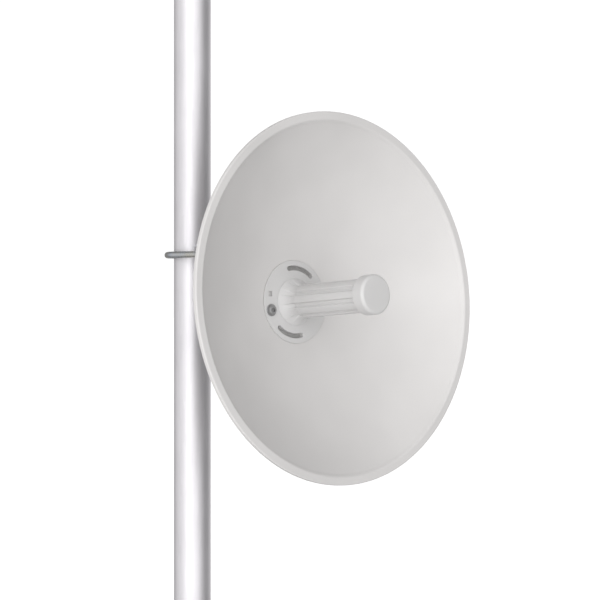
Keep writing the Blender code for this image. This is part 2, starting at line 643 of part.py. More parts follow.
def make_housing(dish, finishes):
    """Round radio housing behind the reflector, and its rear cover."""
    white = finishes["white_plastic"]
    centre = (0.0, -AXIS_DROP)
    front = HUB_BACK_Y + TOUCH_GAP
    seat = []
    for radius in HOUSING_SEAT_RADII:
        seat_radius, seat_y = bowl_back(radius)
        seat.append((seat_radius, seat_y + TOUCH_GAP))
    profile = [(0.0, front), (seat[0][0], front), *seat]
    profile.append((HOUSING_RADIUS + HOUSING_DRAFT, seat[-1][1] + HOUSING_SHOULDER))
    profile += [(HOUSING_RADIUS, HOUSING_REAR_Y), (0.0, HOUSING_REAR_Y)]
    housing = turned("radio_housing", profile, 48, centre)
    add_object("radio_housing", housing, white, dish)

    cover_front = HOUSING_REAR_Y + TOUCH_GAP
    chamfer_in, chamfer_length = COVER_CHAMFER
    profile = [(0.0, cover_front), (HOUSING_RADIUS, cover_front)]
    profile += [(HOUSING_RADIUS - COVER_DRAFT, COVER_REAR_Y - chamfer_length)]
    profile += [(HOUSING_RADIUS - chamfer_in, COVER_REAR_Y), (0.0, COVER_REAR_Y)]
    cover = add_object("housing_cover", turned("housing_cover", profile, 48, centre), white, dish)
    for number, (x, z) in enumerate(bracket_bolt_places(), start=1):
        hole = circle((x, z), HUB_BOLT_SHANK_RADIUS + TOUCH_GAP, 16)
        start = -(COVER_REAR_Y + CUT_MARGIN)
        mesh = plate("bore", [hole], ((1, 0, 0), (0, 0, 1)), start, BRACKET_BOLT_BORE_DEPTH + CUT_MARGIN)
        cutter = add_object(f"cover_hole_cutter_{number}", mesh, white, dish)
        boolean(cover, cutter, "DIFFERENCE")
        boolean(bpy.data.objects["radio_housing"], cutter, "DIFFERENCE")


def make_ports(dish, finishes):
    """Port cover under the housing and the gland that a network cable would pass."""
    outline = rounded_rectangle(PORT_COVER_WIDTH / 2, PORT_COVER_LENGTH / 2, PORT_COVER_CORNER, 3)
    outline = [(x, y + PORT_COVER_Y) for x, y in outline]
    mesh = plate("port_cover", [outline], ((1, 0, 0), (0, 1, 0)), PORT_COVER_BOTTOM, PORT_COVER_HEIGHT)
    cover = add_object("port_cover", mesh, finishes["white_plastic"], dish)
    profile = [(0.0, RIM_Y), (PORT_COVER_INNER_RADIUS, RIM_Y), (PORT_COVER_INNER_RADIUS, 0.0), (0.0, 0.0)]
    around = turned("around", profile, 96, (0.0, -AXIS_DROP))
    boolean(cover, add_object("port_cover_cutter", around, finishes["white_plastic"], dish), "DIFFERENCE")

    profile = [(0.0, 0.0), (GLAND_COLLAR_RADIUS, 0.0), (GLAND_COLLAR_RADIUS, -GLAND_COLLAR_LENGTH)]
    profile += [(GLAND_NUT_RADIUS, -GLAND_NUT_START), (GLAND_TIP_RADIUS, -GLAND_LENGTH), (0.0, -GLAND_LENGTH)]
    mesh = turned("cable_gland", profile, 24)
    mesh.transform(Matrix.Rotation(math.pi / 2, 4, "X"))
    at = (0.0, PORT_COVER_Y, PORT_COVER_BOTTOM - TOUCH_GAP)
    add_object("cable_gland", mesh, finishes["black_plastic"], dish, at)


def bracket_bolt_places():
    """The four bolts that hold the dish bracket, as (x, z) in the dish frame."""
    offset = BRACKET_BOLT_OFFSET
    return [(x, z - AXIS_DROP) for z in (offset, -offset) for x in (-offset, offset)]


def dish_ear_outline():
    """Side view of a dish bracket ear from the pivot, as (y, z)."""
    top = BRACKET_HALF_HEIGHT - AXIS_DROP
    bottom = -BRACKET_HALF_HEIGHT - AXIS_DROP
    front = BRACKET_WEB_FRONT_Y
    outline = [(front, bottom), (front, top), (front + DISH_EAR_TOP_LENGTH, top)]
    outline += arc((0.0, 0.0), DISH_EAR_NOSE_RADIUS, *DISH_EAR_NOSE_ARC, 7)
    outer = LOCK_RADIUS + BOLT_HOLE_RADIUS + LOCK_RIM
    first = LOCK_ANGLE + TILT_RANGE + SLOT_END_MARGIN
    last = LOCK_ANGLE - TILT_RANGE - SLOT_END_MARGIN
    down = -math.pi / 2
    outline += arc((0.0, 0.0), outer, down + first, down + last, 8)
    return outline


def make_dish_bracket(dish, finishes):
    """Channel of bent sheet bolted to the housing, with two slotted ears outside the pole bracket."""
    half = DISH_EAR_OUTER_X
    top = BRACKET_HALF_HEIGHT - AXIS_DROP
    bottom = -BRACKET_HALF_HEIGHT - AXIS_DROP
    outline = [(-half, bottom), (half, bottom), (half, top), (-half, top)]
    holes = [circle(place, HUB_BOLT_SHANK_RADIUS + TOUCH_GAP, 16) for place in bracket_bolt_places()]
    mesh = plate("dish_bracket", [outline, *holes], ((1, 0, 0), (0, 0, 1)), -BRACKET_WEB_FRONT_Y, -SHEET)
    bracket = add_object("dish_bracket", mesh, finishes["zinc"], dish)
    down = -math.pi / 2 + LOCK_ANGLE
    slot = curved_slot(LOCK_RADIUS, BOLT_HOLE_RADIUS, down - TILT_RANGE, down + TILT_RANGE)
    loops = [dish_ear_outline(), circle((0, 0), BOLT_HOLE_RADIUS), slot]
    for side, start in (("left", -half), ("right", half - SHEET)):
        mesh = plate(side, loops, ((0, 1, 0), (0, 0, 1)), start, SHEET)
        ear = add_object(f"dish_bracket_{side}_ear_guide", mesh, finishes["zinc"], dish)
        boolean(bracket, ear, "UNION")

    bolt = bolt_mesh(
        "bracket_bolt",
        HUB_BOLT_SHANK_RADIUS,
        BRACKET_BOLT_LENGTH,
        BRACKET_BOLT_HEAD_RADIUS,
        BRACKET_BOLT_HEAD_HEIGHT,
    )
    bolt.transform(Matrix.Rotation(math.pi, 4, "Z"))
    seat = BRACKET_WEB_FRONT_Y + SHEET + TOUCH_GAP
    for number, (x, z) in enumerate(bracket_bolt_places(), start=1):
        add_object(f"bracket_bolt_{number}", bolt.copy(), finishes["zinc"], dish, (x, seat, z))


def main():
    for existing in list(bpy.data.objects):
        bpy.data.objects.remove(existing, do_unlink=True)

    finishes = {
        "galvanised": material("galvanised_steel", (0.62, 0.61, 0.63), 0.34, 1.0),
        "zinc": material("zinc_plated_steel", (0.55, 0.55, 0.57), 0.38, 1.0),
        "dark_steel": material("dark_steel", (0.34, 0.34, 0.35), 0.45, 1.0),
        "white_powder_coat": material("white_powder_coat", (0.83, 0.82, 0.81), 0.5),
        "white_plastic": material("white_plastic", (0.80, 0.79, 0.79), 0.42),
        "black_plastic": material("black_plastic", (0.03, 0.03, 0.03), 0.5),
    }
    clamp = add_empty("clamp_turn_axis", (0, 0, 0))
    dish = add_empty("dish_tilt_axis", (0, PIVOT_Y, PIVOT_Z), -TILT, clamp)

    make_pole(finishes)
    make_jaw(clamp, finishes)
    make_u_bolt(clamp, finishes)
    make_pole_bracket(clamp, finishes)
    make_pivot_hardware(clamp, finishes)
    make_housing(dish, finishes)
    make_reflector(dish, finishes)
    make_hub(dish, finishes)
    make_feed(dish, finishes)
    make_ports(dish, finishes)
    make_dish_bracket(dish, finishes)


main()
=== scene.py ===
# %% [markdown]
# # A dish antenna on a pole
#
# This lesson gives a imported CAD model its looks. The object is a wireless bridge antenna: a white
# stamped dish with a feed in its middle, a radio housing behind it, and a bracket that clamps to a
# steel pole. Every size is in metres, in the CAD model's own frame, so a piece goes where the CAD
# says. The imported model is loaded first.

# %% Load the imported model
import json
import math

import bmesh
import bpy
from mathutils import Matrix, Vector


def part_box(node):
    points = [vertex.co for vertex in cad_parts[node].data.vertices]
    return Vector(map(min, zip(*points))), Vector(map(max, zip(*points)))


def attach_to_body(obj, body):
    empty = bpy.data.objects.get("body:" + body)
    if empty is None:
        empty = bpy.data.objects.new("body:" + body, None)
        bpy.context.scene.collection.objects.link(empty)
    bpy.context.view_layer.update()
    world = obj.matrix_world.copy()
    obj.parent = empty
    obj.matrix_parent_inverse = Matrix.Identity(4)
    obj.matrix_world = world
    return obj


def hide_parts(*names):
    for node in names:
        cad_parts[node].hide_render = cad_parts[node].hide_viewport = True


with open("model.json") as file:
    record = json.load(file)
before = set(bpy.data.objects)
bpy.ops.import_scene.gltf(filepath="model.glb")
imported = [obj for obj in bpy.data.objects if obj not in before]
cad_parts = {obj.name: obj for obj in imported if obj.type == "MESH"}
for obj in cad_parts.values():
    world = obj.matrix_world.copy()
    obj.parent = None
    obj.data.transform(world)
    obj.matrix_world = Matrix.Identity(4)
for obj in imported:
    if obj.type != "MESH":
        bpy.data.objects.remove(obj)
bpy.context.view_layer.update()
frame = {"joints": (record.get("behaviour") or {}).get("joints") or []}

# %% [markdown]
# ## Camera
#
# The photograph is a long-lens product shot. The outline of the dish's rim fixes the view: the
# camera stands level with the dish, 42 degrees to the left of its axis, about 2.5 m away. A long
# lens keeps the pole's sides almost parallel, as they are in the photograph.

# %% Camera
VIEW_ANGLE = math.radians(42.18)
CAMERA_PLACE = Vector((-1.7125, -2.0835, 0.4485))
SENSOR_WIDTH = 36.0
LENS_LENGTH = 133.83

camera_data = bpy.data.cameras.new("photo_camera")
camera_data.sensor_fit = "HORIZONTAL"
camera_data.sensor_width = SENSOR_WIDTH
camera_data.lens = LENS_LENGTH
camera_data.clip_start = 0.05
camera_data.clip_end = 200.0
camera = bpy.data.objects.new("photo_camera", camera_data)
camera.location = CAMERA_PLACE
camera.rotation_euler = (math.pi / 2, 0.0, -VIEW_ANGLE)
bpy.context.scene.collection.objects.link(camera)
bpy.context.scene.camera = camera
bpy.context.scene.view_settings.view_transform = "Standard"
print("camera", [round(part, 3) for part in camera.location], "lens", LENS_LENGTH)

# %% [markdown]
# ## Node trees by script
#
# Materials, the studio's light and the Geometry Nodes below are all node trees. One small function
# adds a node, changes its own settings, and fills its inputs with plain values or with the outputs
# of other nodes. Colours are written as hex values, as a paint maker's chart gives them, and turned
# into the linear light values that the renderer works in.


# %% One function that adds a node, and one that reads a colour
def add_node(tree, kind, inputs=None, **settings):
    """Add a node; each input is a value, another node's output, or a node for its first output."""
    node = tree.nodes.new(kind)
    for name, value in settings.items():
        setattr(node, name, value)
    for key, value in (inputs or {}).items():
        if isinstance(value, bpy.types.Node):
            value = value.outputs[0]
        if isinstance(value, bpy.types.NodeSocket):
            tree.links.new(value, node.inputs[key])
        else:
            node.inputs[key].default_value = value
    return node


def linear(hex_colour):
    """Turn a hex colour such as #DCDAD8 into linear red, green, blue and full alpha."""
    channels = []
    for start in (1, 3, 5):
        share = int(hex_colour[start : start + 2], 16) / 255
        channels.append(share / 12.92 if share <= 0.04045 else ((share + 0.055) / 1.055) ** 2.4)
    return (*channels, 1.0)


print("mid grey #808080 is", round(linear("#808080")[0], 3), "in linear light")

# %% [markdown]
# ## Studio light
#
# The photograph has very soft light: no hard shadow of the feed falls on the bowl, and the inside
# of the bowl goes gently from grey on the left to near white on the right. A world shader does this
# better than lamps. Each light is a tall softbox standing on the horizon: a glow that fades sideways
# from its middle and slowly upwards and downwards. The main one stands to the camera's left, which
# also puts the pole's highlight where it is. The camera itself sees plain white behind the object.

# %% Soft studio light
BACKDROP_WHITE = 1.06
AMBIENT = 0.22
UPRIGHT_FADE = 2.0
# Each softbox: name, azimuth in degrees, how tight its glow is sideways, and its strength
SOFTBOXES = [
    ("key", -61.0, 6.0, 2.15),
    ("front", -8.0, 9.0, 1.4),
    ("back_left", -132.0, 5.0, 0.85),
    ("back_right", 115.0, 5.0, 0.9),
]


def direction_of(azimuth):
    """Unit vector along the ground; azimuth 0 is in front of the dish and 90 to its right."""
    turn = math.radians(azimuth)
    return Vector((math.sin(turn), -math.cos(turn), 0.0))


def make_studio_light(softboxes, ambient):
    """World shader with a soft glow for each light, and white where the camera looks past the object."""
    world = bpy.data.worlds.new("studio_light")
    world.use_nodes = True
    tree = world.node_tree
    tree.nodes.clear()
    sky = add_node(tree, "ShaderNodeTexCoord").outputs["Generated"]
    ground = add_node(tree, "ShaderNodeVectorMath", {0: sky, 1: (1.0, 1.0, 0.0)}, operation="MULTIPLY")
    heading = add_node(tree, "ShaderNodeVectorMath", {0: ground}, operation="NORMALIZE")
    closeness = add_node(tree, "ShaderNodeVectorMath", {0: ground}, operation="LENGTH")
    fade = add_node(
        tree, "ShaderNodeMath", {0: closeness.outputs["Value"], 1: UPRIGHT_FADE}, operation="POWER"
    )
    total = add_node(tree, "ShaderNodeValue", label="ambient")
    total.outputs[0].default_value = ambient
    level = total.outputs[0]
    for name, azimuth, tightness, strength in softboxes:
        towards = direction_of(azimuth)
        facing = add_node(
            tree, "ShaderNodeVectorMath", {0: heading, 1: towards}, operation="DOT_PRODUCT", label=name
        )
        lit = add_node(tree, "ShaderNodeMath", {0: facing.outputs["Value"], 1: 0.0}, operation="MAXIMUM")
        glow = add_node(tree, "ShaderNodeMath", {0: lit, 1: tightness}, operation="POWER")
        tall = add_node(tree, "ShaderNodeMath", {0: glow, 1: fade}, operation="MULTIPLY")
        added = add_node(tree, "ShaderNodeMath", {0: tall, 1: strength, 2: level}, operation="MULTIPLY_ADD")
        level = added.outputs[0]
    soft = add_node(tree, "ShaderNodeBackground", {"Color": linear("#FFFFFF"), "Strength": level})
    white = add_node(tree, "ShaderNodeBackground", {"Color": linear("#FFFFFF"), "Strength": BACKDROP_WHITE})
    seen = add_node(tree, "ShaderNodeLightPath").outputs["Is Camera Ray"]
    mix = add_node(tree, "ShaderNodeMixShader", {0: seen, 1: soft, 2: white})
    add_node(tree, "ShaderNodeOutputWorld", {"Surface": mix})
    bpy.context.scene.world = world
    return world


make_studio_light(SOFTBOXES, AMBIENT)
print("softboxes:", [softbox[0] for softbox in SOFTBOXES])

# %% [markdown]
# ## Floor
#
# A plain pale floor under the pole. It glows a little, so that it is as white as the backdrop far
# away and the horizon doesn't show, while close to the foot plate a soft shadow still darkens it.
# It neither lights the object nor shows in the steel, because the soft light above already holds
# what comes from below.

# %% Floor
FLOOR_HALF_SIDE = 40.0
FLOOR_GLOW = 0.62


def floor_paint():
    """Matt white studio floor: painted smooth, so it has no pattern that would draw the eye."""
    finish = bpy.data.materials.new("matt_floor_paint")
    finish.use_nodes = True
    shader = finish.node_tree.nodes["Principled BSDF"]
    shader.inputs["Base Color"].default_value = linear("#EDEDED")
    shader.inputs["Roughness"].default_value = 0.9
    shader.inputs["Specular IOR Level"].default_value = 0.1
    shader.inputs["Emission Color"].default_value = linear("#FFFFFF")
    shader.inputs["Emission Strength"].default_value = FLOOR_GLOW
    return finish


def make_floor():
    """One large square face at the height the foot plate stands on."""
    corners = [(-1, -1), (1, -1), (1, 1), (-1, 1)]
    mesh = bpy.data.meshes.new("studio_floor")
    places = [(x * FLOOR_HALF_SIDE, y * FLOOR_HALF_SIDE, 0.0) for x, y in corners]
    mesh.from_pydata(places, [], [(0, 1, 2, 3)])
    mesh.materials.append(floor_paint())
    floor = bpy.data.objects.new("studio_floor", mesh)
    bpy.context.scene.collection.objects.link(floor)
    floor.visible_diffuse = False
    floor.visible_glossy = False
    floor.visible_shadow = False
    return floor


make_floor()
print("floor side", 2 * FLOOR_HALF_SIDE, "m")

# %% [markdown]
# ## White powder coat
#
# The dish is stamped sheet metal. White polyester powder is sprayed on dry and baked, and as it
# melts it draws into the faint waves that painters call orange peel. The eye sees a matt, slightly
# warm white whose highlights are broken up by those waves. Real waves are 1 to 2 mm long, finer
# than one pixel of the main view, so they are drawn about twice as coarse.

# %% White powder coat
PEEL_WAVE = 0.0032
PEEL_HEIGHT = 0.00005
POWDER_GRAIN = 0.0009


def new_finish(name):
    """A material, its node tree, its main shader, and object coordinates to hang patterns on."""
    finish = bpy.data.materials.new(name)
    finish.use_nodes = True
    tree = finish.node_tree
    place = add_node(tree, "ShaderNodeTexCoord").outputs["Object"]
    return finish, tree, tree.nodes["Principled BSDF"], place


def white_powder_coat():
    """Baked polyester powder: two near whites in slow clouds, orange peel, and a fine dry grain."""
    finish, tree, shader, place = new_finish("white_powder_coat")
    cloud = add_node(tree, "ShaderNodeTexNoise", {"Vector": place, "Scale": 1 / 0.11, "Detail": 2.0})
    share = add_node(tree, "ShaderNodeMapRange", {0: cloud, 1: 0.35, 2: 0.65})
    colour = add_node(
        tree,
        "ShaderNodeMix",
        {0: share, 6: linear("#CFCDCC"), 7: linear("#D5D3D2")},
        data_type="RGBA",
    )
    grain = add_node(
        tree, "ShaderNodeTexNoise", {"Vector": place, "Scale": 1 / POWDER_GRAIN, "Detail": 1.0}
    )
    rough = add_node(tree, "ShaderNodeMapRange", {0: grain, 1: 0.3, 2: 0.7, 3: 0.46, 4: 0.58})
    peel = add_node(tree, "ShaderNodeTexNoise", {"Vector": place, "Scale": 1 / PEEL_WAVE, "Detail": 1.5})
    relief = add_node(
        tree, "ShaderNodeBump", {"Height": peel, "Distance": PEEL_HEIGHT, "Strength": 0.8}
    )
    tree.links.new(colour.outputs[2], shader.inputs["Base Color"])
    tree.links.new(rough.outputs[0], shader.inputs["Roughness"])
    tree.links.new(relief.outputs[0], shader.inputs["Normal"])
    shader.inputs["IOR"].default_value = 1.5
    return finish


POWDER = white_powder_coat()
print("made", POWDER.name)

# %% [markdown]
# ## White moulded plastic
#
# The hub, the feed and the radio housing are injection moulded in ASA, a plastic that stands
# sunlight. The mould is spark eroded, which leaves an even, very fine grain that takes the shine
# off. The eye sees a soft satin white, a touch cooler than the powder coat. The real grain is about
# 0.2 mm and is drawn at 0.7 mm.

# %% White moulded plastic
MOULD_GRAIN = 0.0007
MOULD_GRAIN_HEIGHT = 0.000012


def white_moulded_asa():
    """Satin moulded ASA: spark-eroded grain, with slow changes in tone where the plastic flowed."""
    finish, tree, shader, place = new_finish("white_moulded_asa")
    flow = add_node(tree, "ShaderNodeTexNoise", {"Vector": place, "Scale": 1 / 0.05, "Detail": 1.0})
    colour = add_node(
        tree,
        "ShaderNodeMix",
        {0: flow, 6: linear("#C9C8C7"), 7: linear("#D1D0D0")},
        data_type="RGBA",
    )
    grain = add_node(tree, "ShaderNodeTexNoise", {"Vector": place, "Scale": 1 / MOULD_GRAIN, "Detail": 2.0})
    rough = add_node(tree, "ShaderNodeMapRange", {0: grain, 1: 0.3, 2: 0.7, 3: 0.38, 4: 0.5})
    relief = add_node(
        tree, "ShaderNodeBump", {"Height": grain, "Distance": MOULD_GRAIN_HEIGHT, "Strength": 0.7}
    )
    tree.links.new(colour.outputs[2], shader.inputs["Base Color"])
    tree.links.new(rough.outputs[0], shader.inputs["Roughness"])
    tree.links.new(relief.outputs[0], shader.inputs["Normal"])
    shader.inputs["IOR"].default_value = 1.5
    return finish


ASA = white_moulded_asa()
print("made", ASA.name)

# %% [markdown]
# ## Galvanised steel
#
# The pole and its foot plate are dipped in molten zinc. The zinc freezes in flat crystals called
# spangle, a few millimetres across, each a slightly different grey. On the drawn tube the crystals
# are small and pulled along its length, and the whole surface has a soft, silvery sheen.

# %% Galvanised steel
SPANGLE_WIDTH = 0.007
TUBE_SPANGLE_WIDTH = 0.003
TUBE_SPANGLE_LENGTH = 0.030
SPANGLE_HEIGHT = 0.00002


def galvanised_steel(name, width, length, dark, light, contrast, roughness):
    """Hot-dipped zinc: spangle cells of the given width and length, each with its own grey and gloss."""
    finish, tree, shader, place = new_finish(name)
    stretched = add_node(
        tree,
        "ShaderNodeMapping",
        {"Vector": place, "Scale": (1 / width, 1 / width, 1 / length)},
    )
    cells = add_node(tree, "ShaderNodeTexVoronoi", {"Vector": stretched, "Scale": 1.0})
    split = add_node(tree, "ShaderNodeSeparateColor", {0: cells.outputs["Color"]})
    haze = add_node(tree, "ShaderNodeTexNoise", {"Vector": place, "Scale": 1 / 0.06, "Detail": 3.0})
    blend = add_node(
        tree,
        "ShaderNodeMath",
        {0: split, 1: contrast, 2: haze},
        operation="MULTIPLY_ADD",
    )
    share = add_node(tree, "ShaderNodeMapRange", {0: blend, 1: 0.3, 2: 0.75 + contrast})
    colour = add_node(
        tree, "ShaderNodeMix", {0: share, 6: linear(dark), 7: linear(light)}, data_type="RGBA"
    )
    rough = add_node(
        tree,
        "ShaderNodeMapRange",
        {0: split.outputs[1], 1: 0.0, 2: 1.0, 3: roughness, 4: roughness + 0.12 * contrast},
    )
    relief = add_node(
        tree,
        "ShaderNodeBump",
        {"Height": cells.outputs["Distance"], "Distance": SPANGLE_HEIGHT, "Strength": contrast},
    )
    tree.links.new(colour.outputs[2], shader.inputs["Base Color"])
    tree.links.new(rough.outputs[0], shader.inputs["Roughness"])
    tree.links.new(relief.outputs[0], shader.inputs["Normal"])
    shader.inputs["Metallic"].default_value = 1.0
    return finish


GALVANISED_TUBE = galvanised_steel(
    "galvanised_tube", TUBE_SPANGLE_WIDTH, TUBE_SPANGLE_LENGTH, "#D3D1D4", "#DEDCDF", 0.25, 0.50
)
GALVANISED_PLATE = galvanised_steel(
    "galvanised_plate", SPANGLE_WIDTH, SPANGLE_WIDTH, "#A9ABAE", "#CBCDD0", 0.9, 0.36
)
print("made", GALVANISED_TUBE.name, "and", GALVANISED_PLATE.name)

# %% [markdown]
# ## Zinc plate and dark steel
#
# The brackets, bolts and the U-bolt are electroplated with zinc and dipped in a clear passivating
# bath. The layer is thin and even, so the steel's rolled grain still shows, and the bath leaves a
# very faint straw and blue tint. The two screws in the hub are phosphated: a thin, matt layer of grey
# crystals covers the steel, and lets only part of its metal shine through.

# %% Zinc plate and dark steel
ROLLED_GRAIN_WIDTH = 0.0008
ROLLED_GRAIN_LENGTH = 0.010


def plated_steel(name, straw, blue, rough_low, rough_high, metallic):
    """Plated steel: a fine grain along X from rolling, and a slow drift between two tints."""
    finish, tree, shader, place = new_finish(name)
    tint = add_node(tree, "ShaderNodeTexNoise", {"Vector": place, "Scale": 1 / 0.018, "Detail": 2.0})
    share = add_node(tree, "ShaderNodeMapRange", {0: tint, 1: 0.35, 2: 0.65})
    colour = add_node(
        tree, "ShaderNodeMix", {0: share, 6: linear(straw), 7: linear(blue)}, data_type="RGBA"
    )
    along = add_node(
        tree,
        "ShaderNodeMapping",
        {"Vector": place, "Scale": (1 / ROLLED_GRAIN_LENGTH, 1 / ROLLED_GRAIN_WIDTH, 1 / ROLLED_GRAIN_WIDTH)},
    )
    grain = add_node(tree, "ShaderNodeTexNoise", {"Vector": along, "Scale": 1.0, "Detail": 2.0})
    rough = add_node(
        tree, "ShaderNodeMapRange", {0: grain, 1: 0.3, 2: 0.7, 3: rough_low, 4: rough_high}
    )
    relief = add_node(
        tree, "ShaderNodeBump", {"Height": grain, "Distance": 0.000008, "Strength": 0.5}
    )
    tree.links.new(colour.outputs[2], shader.inputs["Base Color"])
    tree.links.new(rough.outputs[0], shader.inputs["Roughness"])
    tree.links.new(relief.outputs[0], shader.inputs["Normal"])
    shader.inputs["Metallic"].default_value = metallic
    return finish


ZINC = plated_steel("zinc_plated_steel", "#B8B6AF", "#AEB2B9", 0.22, 0.34, 1.0)
DARK_STEEL = plated_steel("phosphated_dark_steel", "#A09F9F", "#949495", 0.42, 0.55, 0.6)
print("made", ZINC.name, "and", DARK_STEEL.name)

# %% [markdown]
# ## Black nylon and rubber
#
# The pole's cap and the cable gland are moulded nylon, filled with carbon black against sunlight.
# The eye sees a deep grey with a soft, broad shine and a fine grain. The seal inside the gland is
# rubber, flatter and a little lighter.

# %% Black nylon and rubber
NYLON_GRAIN = 0.0009


def black_polymer(name, dark, light, rough_low, rough_high):
    """Black moulding: fine grain in tone, gloss and relief."""
    finish, tree, shader, place = new_finish(name)
    grain = add_node(tree, "ShaderNodeTexNoise", {"Vector": place, "Scale": 1 / NYLON_GRAIN, "Detail": 2.0})
    colour = add_node(
        tree, "ShaderNodeMix", {0: grain, 6: linear(dark), 7: linear(light)}, data_type="RGBA"
    )
    rough = add_node(
        tree, "ShaderNodeMapRange", {0: grain, 1: 0.3, 2: 0.7, 3: rough_low, 4: rough_high}
    )
    relief = add_node(
        tree, "ShaderNodeBump", {"Height": grain, "Distance": 0.00002, "Strength": 0.6}
    )
    tree.links.new(colour.outputs[2], shader.inputs["Base Color"])
    tree.links.new(rough.outputs[0], shader.inputs["Roughness"])
    tree.links.new(relief.outputs[0], shader.inputs["Normal"])
    return finish


NYLON = black_polymer("black_moulded_nylon", "#232426", "#303134", 0.40, 0.55)
RUBBER = black_polymer("black_seal_rubber", "#2B2B2B", "#393939", 0.65, 0.8)
print("made", NYLON.name, "and", RUBBER.name)

# %% [markdown]
# ## From meshes to pieces
#
# Every finished piece is one plain mesh whose object stands at the origin, as the CAD nodes do.
# Modifiers such as Bevel or Boolean are worked out once and dropped. At the end the piece is hung on
# the body it moves with, and the CAD nodes it stands for are hidden.

# %% Helpers that make and attach pieces
SHARP_ANGLE = math.radians(32.0)
ROUNDED_ANGLE = math.radians(40.0)
MERGE_DISTANCE = 0.000005


def new_piece(name, mesh, finish=None):
    """Put a mesh in the scene as one object at the origin."""
    if finish:
        mesh.materials.clear()
        mesh.materials.append(finish)
    piece = bpy.data.objects.new(name, mesh)
    bpy.context.scene.collection.objects.link(piece)
    return piece


def settled(piece):
    """Replace a piece's mesh by what its modifiers make of it, and drop the modifiers."""
    evaluated = piece.evaluated_get(bpy.context.evaluated_depsgraph_get())
    mesh = bpy.data.meshes.new_from_object(evaluated)
    piece.modifiers.clear()
    piece.data = mesh
    return piece


def soften(piece, width, segments=3):
    """Round a piece's sharp edges, as any pressed, moulded or deburred edge is."""
    bevel = piece.modifiers.new("soften", "BEVEL")
    bevel.width = width
    bevel.segments = segments
    bevel.limit_method = "ANGLE"
    bevel.angle_limit = ROUNDED_ANGLE
    bevel.loop_slide = False
    return settled(piece)


def thickened(piece, thickness, even=False):
    """Give a sheet its thickness behind its outer face."""
    wall = piece.modifiers.new("sheet", "SOLIDIFY")
    wall.thickness = thickness
    wall.offset = -1.0
    wall.use_even_offset = even
    return settled(piece)


def hollowed(piece, mesh):
    """Cut another solid out of a piece."""
    cutter = new_piece("cutter", mesh)
    cut = piece.modifiers.new("cut", "BOOLEAN")
    cut.operation = "DIFFERENCE"
    cut.object = cutter
    cut.solver = "EXACT"
    settled(piece)
    bpy.data.objects.remove(cutter)
    return piece


def taken(piece):
    """Take a finished mesh out of the scene again, to join or place it."""
    mesh = piece.data
    bpy.data.objects.remove(piece)
    return mesh


def raised(mesh, height):
    """Move a mesh along Z."""
    mesh.transform(Matrix.Translation((0, 0, height)))
    return mesh


def mesh_from(bm, name):
    """Keep what was built as a new mesh."""
    mesh = bpy.data.meshes.new(name)
    bm.to_mesh(mesh)
    bm.free()
    return mesh


def joined(name, parts):
    """Join (mesh, finish) pairs into one mesh that keeps each part's finish."""
    finishes = []
    bm = bmesh.new()
    for mesh, finish in parts:
        if finish not in finishes:
            finishes.append(finish)
        before = len(bm.faces)
        bm.from_mesh(mesh)
        bm.faces.ensure_lookup_table()
        for face in bm.faces[before:]:
            face.material_index = finishes.index(finish)
    mesh = mesh_from(bm, name)
    for finish in finishes:
        mesh.materials.append(finish)
    return mesh


def closed_outwards(bm):
    """Merge double points, close what is open, and turn every face outwards."""
    bmesh.ops.remove_doubles(bm, verts=bm.verts, dist=MERGE_DISTANCE)
    loose = [edge for edge in bm.edges if not edge.link_faces]
    bmesh.ops.delete(bm, geom=loose, context="EDGES")
    bmesh.ops.holes_fill(bm, edges=bm.edges, sides=0)
    bmesh.ops.recalc_face_normals(bm, faces=bm.faces)


def attach(piece, body, slot, *nodes):
    """Finish the shading, hang the piece on its body, and hide the CAD nodes it stands for.

    Weighted normals let the large faces win over the narrow ones of a rounded edge, so that flat
    sheet metal also looks flat right up to its edges and holes.
    """
    piece.data.shade_smooth()
    piece.data.set_sharp_from_angle(angle=SHARP_ANGLE)
    flatness = piece.modifiers.new("flatness", "WEIGHTED_NORMAL")
    flatness.keep_sharp = True
    settled(piece)
    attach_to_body(piece, body)
    if nodes:
        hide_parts(*nodes)
    triangles = sum(len(face.vertices) - 2 for face in piece.data.polygons)
    print(f"{piece.name}: {triangles} triangles on {body}")
    return piece


# %% [markdown]
# ## Where things are
#
# The dish group has its own frame: its origin is the tilt pivot, and the dish's axis lies a little
# below it. At rest the group is tilted 3.6 degrees upwards. Pieces of that group are modelled with
# the axis straight along -Y and are then turned into place with one matrix. Fasteners are placed
# on the boxes of the CAD nodes that they stand for.

# %% Frames and places
TILT = math.radians(3.6)
JOINTS = {joint["name"]: joint for joint in frame["joints"]}
PIVOT = Vector(JOINTS["dish_tilt"]["pos_m"])
AXIS_DROP = 0.014
DISH_FRAME = Matrix.Translation(PIVOT) @ Matrix.Rotation(-TILT, 4, "X")
DISH_AXIS = DISH_FRAME @ Matrix.Translation((0, 0, -AXIS_DROP))
UPRIGHT = Matrix.Rotation(math.pi / 2, 4, "X")


def seat_on(node, direction):
    """A matrix that stands a piece's +Z on a CAD node's near side and points it along a direction."""
    low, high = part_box(node)
    towards = Vector(direction)
    depth = abs(towards.dot(high - low))
    start = (low + high) / 2 - towards * depth / 2
    return Matrix.Translation(start) @ towards.to_track_quat("Z", "Y").to_matrix().to_4x4()


print("tilt pivot at", [round(part, 4) for part in PIVOT])

# %% [markdown]
# ## Outlines and turned shapes
#
# Two ways of making solids serve most of the parts, as they do in a workshop: turning a profile
# around an axis, and cutting a plate along an outline. The outlines are written as arcs and
# straight runs, so that a change of one size moves everything that depends on it.


# %% Outlines, plates and turned solids
def arc(centre, radius, start, end, steps):
    """Points of an arc, both ends included."""
    points = []
    for step in range(steps + 1):
        angle = start + (end - start) * step / steps
        points.append((centre[0] + radius * math.cos(angle), centre[1] + radius * math.sin(angle)))
    return points


